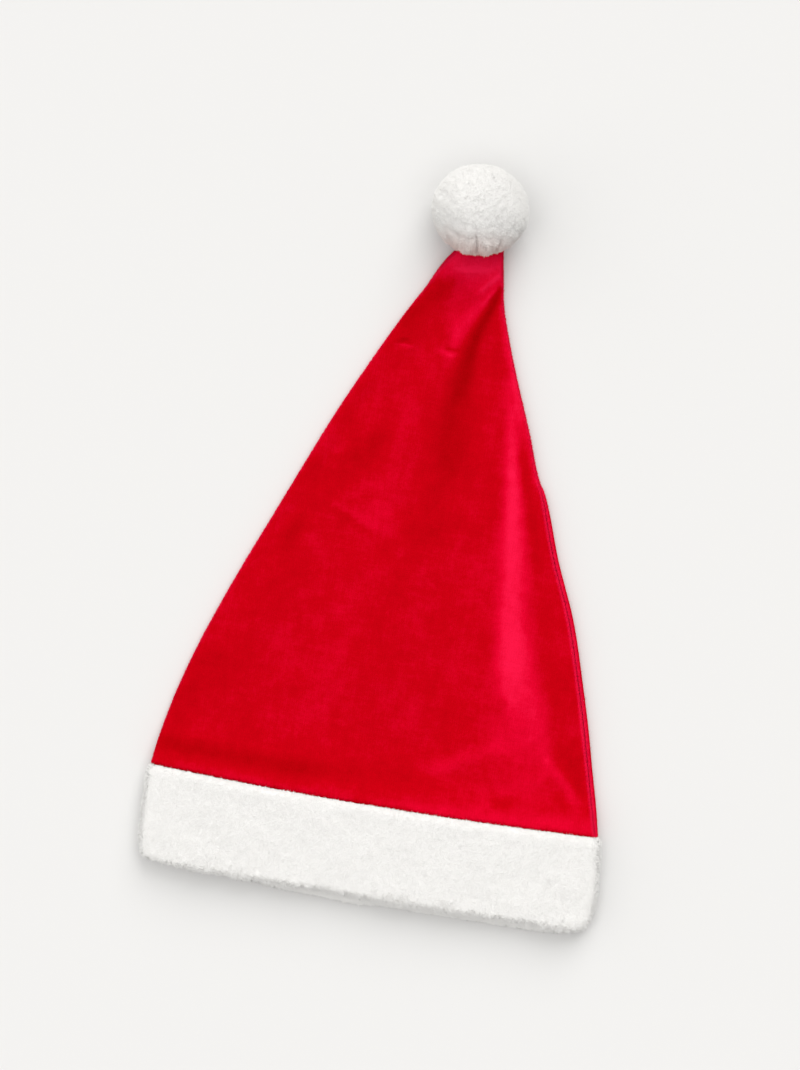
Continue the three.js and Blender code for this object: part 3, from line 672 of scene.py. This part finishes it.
def make_piece(name, points, faces, finish, values=()):
    """A closed piece with its faces out, and a number at each point for each named value."""
    corners = in_row_frame(points)
    faces = np.asarray(faces)
    a, b, c, d = (corners[faces[:, i]] for i in range(4))
    volume = np.einsum("ij,ij->i", a, np.cross(b, c)).sum() + np.einsum("ij,ij->i", a, np.cross(c, d)).sum()
    if volume < 0:
        faces = faces[:, ::-1]
    mesh = bpy.data.meshes.new(name)
    mesh.from_pydata(corners.tolist(), [], [[int(i) for i in dict.fromkeys(face)] for face in faces.tolist()])
    mesh.polygons.foreach_set("use_smooth", np.ones(len(mesh.polygons), bool))
    for value, numbers in dict(values).items():
        attribute = mesh.attributes.new(value, "FLOAT", "POINT")
        attribute.data.foreach_set("value", np.asarray(numbers, np.float32).ravel())
    mesh.materials.append(finish)
    mesh.validate()
    piece = bpy.data.objects.new(name, mesh)
    bpy.context.scene.collection.objects.link(piece)
    return piece


def strip_faces(near, far):
    """Four-sided faces between two rows of point numbers."""
    return np.stack([near[:-1], near[1:], far[1:], far[:-1]], -1).reshape(-1, 4)


def wall_faces(rows, columns):
    outer = np.arange(rows * columns).reshape(rows, columns)
    inner = outer + rows * columns
    faces = [strip_faces(outer[i], outer[i + 1]) for i in range(rows - 1)]
    faces += [strip_faces(inner[i + 1], inner[i]) for i in range(rows - 1)]
    faces.append(strip_faces(inner[0], outer[0]))
    faces.append(strip_faces(outer[-1], inner[-1]))
    faces.append(strip_faces(outer[:, 0], inner[:, 0]))
    faces.append(strip_faces(inner[:, -1], outer[:, -1]))
    return np.vstack(faces)


def ring_faces(rings, size):
    grid = np.arange(rings * size).reshape(rings, size)
    grid = np.vstack([grid, grid[:1]])
    grid = np.hstack([grid, grid[:, :1]])
    return np.vstack([strip_faces(grid[i], grid[i + 1]) for i in range(rings)])


def ball_faces(rings, size):
    grid = np.arange(rings * size).reshape(rings, size)
    grid = np.hstack([grid, grid[:, :1]])
    first, last = rings * size, rings * size + 1
    faces = [strip_faces(grid[i], grid[i + 1]) for i in range(rings - 1)]
    faces.append(np.stack([np.full(size, first), grid[0, 1:], grid[0, :-1], np.full(size, first)], -1))
    faces.append(np.stack([np.full(size, last), grid[-1, :-1], grid[-1, 1:], np.full(size, last)], -1))
    return np.vstack(faces)


# Finishes


class Nodes:
    """Short ways to add nodes to a tree."""

    def __init__(self, tree):
        self.nodes, self.links = tree.nodes, tree.links

    def link(self, value, socket):
        """Links an output to a socket, or sets the socket's own value."""
        if isinstance(value, bpy.types.NodeSocket):
            self.links.new(value, socket)
        else:
            socket.default_value = value

    def new(self, kind, values=(), **settings):
        node = self.nodes.new(kind)
        for setting, value in settings.items():
            setattr(node, setting, value)
        for socket, value in dict(values).items():
            self.link(value, node.inputs[socket])
        return node

    def math(self, operation, *values):
        return self.new("ShaderNodeMath", enumerate(values), operation=operation).outputs[0]

    def vector(self, operation, *values):
        return self.new("ShaderNodeVectorMath", enumerate(values), operation=operation).outputs[0]


class Finish(Nodes):
    """A material with one principled shader."""

    def __init__(self, name, **constants):
        self.material = bpy.data.materials.new(name)
        self.material.use_nodes = True
        super().__init__(self.material.node_tree)
        self.shader = self.nodes["Principled BSDF"]
        for socket, value in constants.items():
            self.shader.inputs[socket.replace("_", " ")].default_value = value
        self.place = self.new("ShaderNodeTexCoord").outputs["Object"]

    def noise(self, scale, detail=2.0, roughness=0.5, stretch=None):
        """Even noise about zero, stretched into streaks where three scales are given."""
        place = self.place
        if stretch:
            place = self.new("ShaderNodeMapping", {"Vector": place, "Scale": stretch}).outputs["Vector"]
        values = {"Vector": place, "Scale": scale, "Detail": detail, "Roughness": roughness}
        return self.add(self.new("ShaderNodeTexNoise", values).outputs["Fac"], -0.5)

    def add(self, a, b):
        return self.math("ADD", a, b)

    def more(self, base, value, amount):
        """base plus amount times value."""
        return self.math("MULTIPLY_ADD", value, amount, base)

    def point_value(self, name):
        return self.new("ShaderNodeAttribute", attribute_name=name).outputs["Fac"]

    def tones(self, value, stops):
        node = self.new("ShaderNodeValToRGB", {"Fac": value})
        ramp = node.color_ramp
        ramp.elements[0].position, ramp.elements[-1].position = stops[0][0], stops[-1][0]
        for position, _ in stops[1:-1]:
            ramp.elements.new(position)
        for element, (_, colour) in zip(ramp.elements, stops):
            element.color = (*colour, 1)
        return node.outputs["Color"]

    def bump(self, height, strength, distance):
        node = self.new("ShaderNodeBump", {"Strength": strength, "Distance": distance, "Height": height})
        self.link(node.outputs["Normal"], self.shader.inputs["Normal"])


def red_velour():
    """Knitted velour: lighter or darker as its pile was brushed, with painted shade and painted highlight on its
    folds, creases and edges, over fine wales and a speckled pile.
    """
    finish = Finish(
        "red velour",
        Roughness=0.92,
        Specular_IOR_Level=0.01,
        Sheen_Weight=0.3,
        Sheen_Roughness=0.35,
        Sheen_Tint=(1.0, 0.02, 0.1, 1),
    )
    knit = {"Vector": finish.place, "Scale": 290, "Distortion": 2.2, "Detail": 2, "Detail Scale": 1.4}
    wale = finish.new("ShaderNodeTexWave", knit, bands_direction="X")
    speck = finish.noise(2600, 2, 0.6)
    # the brushed pile's tone together with the painted shade and highlight of the panel's folds, creases and edges
    tone = finish.point_value("nap")
    tone = finish.more(tone, finish.noise(45, 2), 0.55)
    tone = finish.more(tone, finish.noise(170, 3, 0.6), 0.5)
    tone = finish.more(tone, finish.noise(900, 2, 0.6), 0.4)
    tone = finish.more(tone, finish.noise(1, 3, 0.6, stretch=(50, 420, 420)), 0.25)
    tone = finish.more(tone, finish.noise(1, 3, 0.6, stretch=(480, 45, 420)), 0.25)
    tone = finish.more(tone, speck, 0.3)
    tone = finish.more(tone, finish.add(wale.outputs["Fac"], -0.5), 0.07)
    share = finish.more(0.5, tone, 0.5)
    finish.link(finish.tones(share, VELOUR_TONES), finish.shader.inputs["Base Color"])
    height = finish.more(speck, wale.outputs["Fac"], 0.18)
    finish.bump(height, 0.55, 0.00025)
    return finish.material


def white_plush():
    """Short dense plush: warm white, with a faint mottle where the pile parts. By the tip it has painted red light
    thrown back from the velour, brighter than white to lift the shade on the ball's underside.
    """
    finish = Finish(
        "white plush",
        Roughness=1.0,
        Specular_IOR_Level=0.02,
        Sheen_Weight=0.3,
        Sheen_Roughness=0.6,
        Sheen_Tint=(1.0, 0.98, 0.95, 1),
    )
    mottle = finish.more(0.5, finish.noise(240, 3, 0.6), 0.7)
    mottle = finish.more(mottle, finish.noise(1500, 2, 0.6), 0.6)
    parted = tuple(channel * 0.92 for channel in PLUSH_WHITE)
    ends = {0: finish.place, 1: in_row_frame(PAINTED_BOUNCE_MIDDLE)[0].tolist()}
    from_tip = finish.new("ShaderNodeVectorMath", ends, operation="DISTANCE").outputs["Value"]
    fading = {"Value": from_tip, "From Min": PAINTED_BOUNCE_REACH[0], "From Max": PAINTED_BOUNCE_REACH[1], "To Min": 1.0, "To Max": 0.0}
    near_tip = finish.new("ShaderNodeMapRange", fading, interpolation_type="SMOOTHSTEP").outputs["Result"]
    wrinkled = finish.more(-0.1, finish.noise(330, 3, 0.6), 2.6)
    mottle = finish.add(mottle, finish.math("MULTIPLY", near_tip, wrinkled))
    white = finish.tones(mottle, ((0.0, parted), (1.0, PLUSH_WHITE)))
    # painted red bounce light from the velour by the tip, which also lifts the shade of the ball's underside
    bounce_inputs = {0: near_tip, 6: white, 7: (*PAINTED_RED_BOUNCE, 1)}
    painted_bounce = finish.new("ShaderNodeMix", bounce_inputs, data_type="RGBA", blend_type="MULTIPLY")
    finish.link(painted_bounce.outputs[2], finish.shader.inputs["Base Color"])
    height = finish.more(finish.noise(1500, 3, 0.65), finish.noise(420, 2), 0.9)
    finish.bump(height, 0.35, 0.0007)
    return finish.material


RED_VELOUR = red_velour()
WHITE_PLUSH = white_plush()


# Pile and nap


def pile_tree(name, tapered):
    """Grows a pile on a piece, thickest where its value "pile" is 1 and leaning in small tufts, of flat blades
    that lie on the cloth or of tapered tufts that stand up from it."""
    tree = bpy.data.node_groups.new(name, "GeometryNodeTree")
    numbers = ("Density", "Blade Length", "Blade Width", "Stand", "Lean", "Tuft Scale")
    others = (("Brushed", "Vector"), ("Seed", "Int"), ("Finish", "Material"))
    for given_name, kind in (("Geometry", "Geometry"), *((number, "Float") for number in numbers), *others):
        tree.interface.new_socket(given_name, in_out="INPUT", socket_type=f"NodeSocket{kind}")
    tree.interface.new_socket("Geometry", in_out="OUTPUT", socket_type="NodeSocketGeometry")
    pile = Nodes(tree)
    given = pile.new("NodeGroupInput").outputs

    def scaled(vector, amount):
        return pile.new("ShaderNodeVectorMath", {0: vector, "Scale": amount}, operation="SCALE").outputs[0]

    thickest = pile.new("GeometryNodeInputNamedAttribute", {"Name": "pile"}, data_type="FLOAT").outputs["Attribute"]
    density = pile.math("MULTIPLY", given["Density"], thickest)
    spots = {"Mesh": given["Geometry"], "Density": density, "Seed": given["Seed"]}
    scatter = pile.new("GeometryNodeDistributePointsOnFaces", spots)
    normal = scatter.outputs["Normal"]

    position = pile.new("GeometryNodeInputPosition").outputs[0]
    tuft = pile.new("ShaderNodeTexNoise", {"Vector": position, "Scale": given["Tuft Scale"], "Detail": 2})
    middle = pile.vector("SUBTRACT", tuft.outputs["Color"], (0.5, 0.5, 0.5))
    lean = scaled(middle, pile.math("MULTIPLY", given["Lean"], 3.0))
    anywhere = {"Min": (-1,) * 3, "Max": (1,) * 3, "Seed": pile.math("ADD", given["Seed"], 11)}
    stray = pile.new("FunctionNodeRandomValue", anywhere, data_type="FLOAT_VECTOR").outputs["Value"]
    stray = scaled(stray, pile.math("MULTIPLY", given["Lean"], 0.7))
    sway = pile.vector("ADD", pile.vector("ADD", lean, stray), given["Brushed"])
    across = pile.vector("SUBTRACT", sway, pile.vector("PROJECT", sway, normal))
    direction = pile.vector("ADD", scaled(normal, given["Stand"]), across)

    axes = {"Primary Axis": pile.vector("NORMALIZE", direction), "Secondary Axis": normal}
    rotation = pile.new("FunctionNodeAxesToRotation", axes, primary_axis="Z", secondary_axis="X")
    rooted = {"Geometry": scatter.outputs["Points"], "Name": "root normal", "Value": normal}
    root = pile.new("GeometryNodeStoreNamedAttribute", rooted, data_type="FLOAT_VECTOR", domain="POINT")

    if tapered:
        radius = pile.math("MULTIPLY", given["Blade Width"], 0.5)
        cone = {"Vertices": 3, "Radius Top": 0, "Radius Bottom": radius, "Depth": given["Blade Length"]}
        blade = pile.new("GeometryNodeMeshCone", cone)
    else:
        flat = pile.new("GeometryNodeMeshCircle", {"Vertices": 3, "Radius": 2 / 3}, fill_type="NGON").outputs["Mesh"]
        width = pile.math("MULTIPLY", given["Blade Width"], 0.866)
        size = pile.new("ShaderNodeCombineXYZ", {"X": given["Blade Length"], "Y": width, "Z": 1.0}).outputs[0]
        shape = pile.new("GeometryNodeTransform", {"Geometry": flat, "Scale": size}).outputs[0]
        lift = pile.new("ShaderNodeCombineXYZ", {"Z": pile.math("MULTIPLY", given["Blade Length"], 0.3)}).outputs[0]
        stood = {"Geometry": shape, "Rotation": (0, -math.pi / 2, math.pi), "Translation": lift}
        blade = pile.new("GeometryNodeTransform", stood)

    sizes = {2: 0.6, 3: 1.15, "Seed": pile.math("ADD", given["Seed"], 23)}
    spread = pile.new("FunctionNodeRandomValue", sizes, data_type="FLOAT").outputs[1]
    grown = {"Points": root.outputs[0], "Instance": blade.outputs[0], "Rotation": rotation.outputs[0], "Scale": spread}
    instances = pile.new("GeometryNodeInstanceOnPoints", grown).outputs[0]
    real = pile.new("GeometryNodeRealizeInstances", {0: instances}).outputs[0]
    finish = pile.new("GeometryNodeSetMaterial", {"Geometry": real, "Material": given["Finish"]}).outputs[0]
    pile.new("NodeGroupOutput", {0: finish})
    return tree


LYING_PILE = pile_tree("lying pile", False)
STANDING_TUFTS = pile_tree("standing tufts", True)

# How each cloth's pile grows, in metres
LEAST_PILE_HEIGHT = 0.00004
PLUSH_PILE = {
    "tree": LYING_PILE,
    "finish": WHITE_PLUSH,
    "Blade_Length": 0.0011,
    "Blade_Width": 0.0003,
    "Stand": 0.1,
    "Lean": 0.5,
}
PLUSH_TUFTS = {"tree": STANDING_TUFTS, "finish": WHITE_PLUSH, "Stand": 0.9, "Tuft_Scale": 450.0}
VELOUR_NAP = {
    "tree": STANDING_TUFTS,
    "finish": RED_VELOUR,
    "Blade_Length": 0.0007,
    "Blade_Width": 0.00026,
    "Stand": 0.6,
    "Lean": 0.4,
    "Tuft_Scale": 900.0,
    "Brushed": (0.0, -0.1, 0.0),
    "own_face": 0.15,
    "upward": 2.0,
}


def facing_up(height):
    """Share by which a surface catches light from above, from the upright part of its normal."""
    return smoothstep(-0.6, 0.1, height)


def grow_pile(name, ground, finish, tree, own_face, upward, **sizes):
    """Makes a piece's pile as a plain mesh of its own. Its light follows the ground it stands on, turned up by
    upward, and the blade's own side by the share own_face."""
    modifier = ground.modifiers.new("pile", "NODES")
    modifier.node_group = tree
    identifiers = {item.name: item.identifier for item in tree.interface.items_tree if item.in_out == "INPUT"}
    for socket, value in {**sizes, "Finish": finish}.items():
        modifier[identifiers[socket.replace("_", " ")]] = value
    evaluated = ground.evaluated_get(bpy.context.evaluated_depsgraph_get())
    mesh = bpy.data.meshes.new_from_object(evaluated)
    ground.modifiers.remove(modifier)
    mesh.name = name
    if not mesh.materials:
        mesh.materials.append(finish)
    count = len(mesh.vertices)
    places = np.empty(count * 3)
    mesh.vertices.foreach_get("co", places)
    places = places.reshape(-1, 3)
    places[:, 2] = np.maximum(places[:, 2], LEAST_PILE_HEIGHT)
    mesh.vertices.foreach_set("co", places.ravel())
    roots = np.empty(count * 3)
    mesh.attributes["root normal"].data.foreach_get("vector", roots)
    roots = roots.reshape(-1, 3)
    mesh.attributes.remove(mesh.attributes["root normal"])
    corners = np.empty(len(mesh.loops), int)
    mesh.loops.foreach_get("vertex_index", corners)
    blades = places[corners].reshape(-1, 3, 3)
    faces = np.cross(blades[:, 1] - blades[:, 0], blades[:, 2] - blades[:, 0])
    faces /= np.maximum(np.linalg.norm(faces, axis=1, keepdims=True), 1e-12)
    faces = np.repeat(faces, 3, axis=0)
    ground_side = roots[corners]
    faces *= np.sign(np.einsum("ij,ij->i", faces, ground_side))[:, None]
    light = mix(ground_side, faces, own_face)
    light[:, 2] += upward * facing_up(ground_side[:, 2])
    light /= np.maximum(np.linalg.norm(light, axis=1, keepdims=True), 1e-9)
    mesh.polygons.foreach_set("use_smooth", np.ones(len(mesh.polygons), bool))
    mesh.normals_split_custom_set(light.tolist())
    piece = bpy.data.objects.new(name, mesh)
    bpy.context.scene.collection.objects.link(piece)
    return piece


def grow_from(ground, value):
    """The next pile grows where this value of the piece says."""
    numbers = np.empty(len(ground.data.vertices), np.float32)
    ground.data.attributes[value].data.foreach_get("value", numbers)
    ground.data.attributes["pile"].data.foreach_set("value", numbers)


def soften_upwards(piece, amount):
    """Turns the light on a furry piece's cloth upwards, as its pile catches it there."""
    mesh = piece.data
    normals = np.empty(len(mesh.vertices) * 3)
    mesh.vertex_normals.foreach_get("vector", normals)
    normals = normals.reshape(-1, 3)
    normals[:, 2] += amount * facing_up(normals[:, 2])
    normals /= np.linalg.norm(normals, axis=1, keepdims=True)
    mesh.normals_split_custom_set_from_vertices(normals.tolist())


# Pieces


def make_crown(name, rows, columns, front):
    (outer, inner), nap, to_edge = crown_panel(rows, columns, front)
    points = np.concatenate([outer.reshape(-1, 3), inner.reshape(-1, 3)])
    near_edge = 1 - smoothstep(0.3, 1.8, to_edge)
    values = {
        "nap": np.concatenate([nap.ravel(), nap.ravel()]),
        "pile": np.concatenate([near_edge.ravel(), 0 * nap.ravel()]),
    }
    panel = make_piece(name, points, wall_faces(*nap.shape), RED_VELOUR, values)
    rim = (1 - smoothstep(0.2, 2.4, to_edge)).ravel()
    soften_upwards(panel, RIM_SOFTNESS * np.concatenate([rim, rim]))
    return panel


crown_front = make_crown("crown_front_panel", FRONT_ROWS, FRONT_COLUMNS, True)
crown_back = make_crown("crown_back_panel", BACK_ROWS, BACK_COLUMNS, False)

brim_points, brim_nz, brim_outside = brim_grid(BRIM_PILE)
wave = 0.22 * unevenness(brim_points, 13, 21) + 0.12 * unevenness(brim_points, 5, 22)
brim_points[..., 2] += wave * np.clip(brim_nz, -0.2, 1) * brim_outside
fold_tufts = 0.3 * unevenness(brim_points * np.array([1, 0, 1]), 7, 23)
fold_tufts += 0.42 * unevenness(brim_points * np.array([1, 0, 0.5]), 2.8, 24)
brim_points[..., 1] += fold_tufts * (1 - smoothstep(0.5, 4, brim_points[..., 1])) * brim_outside
end_tufts = 0.34 * unevenness(brim_points * np.array([0, 1, 0.5]), 2.8, 25)
brim_points[..., 0] += end_tufts * np.sign(brim_points[..., 0]) * (1 - np.abs(brim_nz)) * brim_outside
brim_points[..., 2] = np.maximum(brim_points[..., 2], BRIM_LOWEST)
top_share = (brim_nz > -0.3) * brim_outside
low_share = (brim_nz <= -0.3) * brim_outside
inside_rim = (1 - brim_outside) * (brim_points[..., 1] < 3)
from_fold = np.abs(brim_points[..., 1] - np.where(brim_nz > 0, -0.6, -2.2))
fold_share = (1 - smoothstep(0.3, 2.2, from_fold)) * brim_outside
end_share = (1 - smoothstep(0.25, 0.75, np.abs(brim_nz))) * brim_outside
brim = make_piece(
    "brim_plush",
    brim_points,
    ring_faces(*brim_nz.shape),
    WHITE_PLUSH,
    {"pile": top_share, "pile below": low_share + inside_rim, "tufts": np.maximum(fold_share, end_share)},
)

ball_rings, ball_ends = ball_grid(BALL_PILE)
seam_share = 1 - smoothstep(0.28, 0.55, np.arange(ball_rings.shape[0]) / ball_rings.shape[0])
seam_share = np.concatenate([np.repeat(seam_share, ball_rings.shape[1]), [1, 0]])
ball = make_piece(
    "ball_plush",
    np.concatenate([ball_rings.reshape(-1, 3), ball_ends]),
    ball_faces(*ball_rings.shape[:2]),
    WHITE_PLUSH,
    {"pile": np.ones(seam_share.shape), "tufts": 0.06 + seam_share},
)

soften_upwards(brim, 1.3)
BRUSHED_DOWN, BRUSHED_LIGHTLY = (0.0, -0.2, 0.0), (0.0, -0.1, 0.0)
BRIM_GROWTH = {**PLUSH_PILE, "Tuft_Scale": 600.0, "Brushed": BRUSHED_DOWN, "own_face": 0.15}
brim_pile = grow_pile("brim_pile_top", brim, Density=1.65e7, Seed=3, upward=1.2, **BRIM_GROWTH)
soften_upwards(ball, 3.0)
BALL_GROWTH = {**PLUSH_PILE, "Tuft_Scale": 500.0, "Brushed": BRUSHED_LIGHTLY, "own_face": 0.08}
ball_pile = grow_pile("ball_pile", ball, Density=2.3e7, Seed=5, upward=3.0, **BALL_GROWTH)
grow_from(brim, "pile below")
BELOW_GROWTH = {**BRIM_GROWTH, "Blade_Length": 0.0012, "Blade_Width": 0.0005}
brim_pile_below = grow_pile("brim_pile_below", brim, Density=0.8e7, Seed=4, upward=1.3, **BELOW_GROWTH)
grow_from(brim, "tufts")
brim_tufts = grow_pile(
    "brim_edge_tufts",
    brim,
    Density=8e6,
    Blade_Length=0.0018,
    Blade_Width=0.0006,
    Lean=0.45,
    Brushed=BRUSHED_LIGHTLY,
    Seed=13,
    own_face=0.45,
    upward=0.3,
    **PLUSH_TUFTS,
)
grow_from(ball, "tufts")
ball_tufts = grow_pile(
    "ball_seam_tufts",
    ball,
    Density=4.5e6,
    Blade_Length=0.0017,
    Blade_Width=0.0007,
    Lean=0.5,
    Brushed=BRUSHED_LIGHTLY,
    Seed=15,
    own_face=0.12,
    upward=2.0,
    **PLUSH_TUFTS,
)
front_nap = grow_pile("velour_nap_front", crown_front, Density=1.7e7, Seed=7, **VELOUR_NAP)
back_nap = grow_pile("velour_nap_back", crown_back, Density=1.0e7, Seed=8, **VELOUR_NAP)

PIECES = (
    (crown_front, "crown_front", "red_velour"),
    (crown_back, "crown_back", "red_velour"),
    (brim, "brim", "white_plush"),
    (ball, "ball", "white_plush"),
    (front_nap, None, "red_velour"),
    (back_nap, None, "red_velour"),
    (brim_pile, None, "white_plush"),
    (brim_pile_below, None, "white_plush"),
    (brim_tufts, None, "white_plush"),
    (ball_pile, None, "white_plush"),
    (ball_tufts, None, "white_plush"),
)
for piece, node, material_slot in PIECES:
    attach(piece, "root")
    if node:
        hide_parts(node)


# Table, light and camera

TABLE_REACH = 6.0
CAMERA_PLACE = (-7.8, 171.2, 1421.0)
CAMERA_TURN = 9.3


def make_floor():
    mesh = bpy.data.meshes.new("table")
    reach = TABLE_REACH
    corners = [(-reach, -reach, 0), (reach, -reach, 0), (reach, reach, 0), (-reach, reach, 0)]
    mesh.from_pydata(corners, [], [(0, 1, 2, 3)])
    finish = Finish("pale table", Roughness=1.0, Specular_IOR_Level=0.0)
    paint = finish.more(0.5, finish.noise(6, 2), 0.5)
    low = tuple(channel * 0.995 for channel in FLOOR_WHITE)
    finish.link(finish.tones(paint, ((0.0, low), (1.0, FLOOR_WHITE))), finish.shader.inputs["Base Color"])
    mesh.materials.append(finish.material)
    floor = bpy.data.objects.new("table", mesh)
    bpy.context.scene.collection.objects.link(floor)


# Soft lights: name, strength, spread in degrees, and the direction they come from
STUDIO_LIGHTS = (
    ("soft box overhead", 1.08, 70, (0.06, 0.0, 1.0)),
    ("soft box beyond the tip", 1.66, 48, (0.16, 1.25, 1.0)),
    ("soft box at the left", 0.9, 80, (-1.0, -0.05, 0.78)),
)
STUDIO_FILL = 0.4
PALE_BACKDROP = 0.88


def make_light():
    scene = bpy.context.scene
    world = bpy.data.worlds.new("studio")
    world.use_nodes = True
    sky = Nodes(world.node_tree)
    background = sky.nodes["Background"].inputs
    background["Color"].default_value = (1, 1, 1, 1)
    seen = sky.new("ShaderNodeLightPath").outputs["Is Camera Ray"]
    sky.link(sky.math("MULTIPLY_ADD", seen, PALE_BACKDROP - STUDIO_FILL, STUDIO_FILL), background["Strength"])
    scene.world = world
    for name, energy, spread, towards in STUDIO_LIGHTS:
        lamp = bpy.data.lights.new(name, "SUN")
        lamp.energy = energy
        lamp.angle = math.radians(spread)
        light = bpy.data.objects.new(name, lamp)
        light.rotation_euler = Vector(towards).to_track_quat("Z", "Y").to_euler()
        scene.collection.objects.link(light)


def make_camera():
    """Straight above the hat, turned as the photograph was taken."""
    data = bpy.data.cameras.new("camera")
    data.lens = 100
    data.sensor_width = 36
    camera = bpy.data.objects.new("camera", data)
    camera.location = in_row_frame(CAMERA_PLACE)[0].tolist()
    camera.rotation_euler = (0, 0, math.radians(CAMERA_TURN))
    bpy.context.scene.collection.objects.link(camera)
    bpy.context.scene.camera = camera


make_floor()
make_light()
make_camera()
bpy.context.scene.view_settings.view_transform = "Standard"
bpy.context.scene.view_settings.look = "None"

bpy.context.view_layer.update()
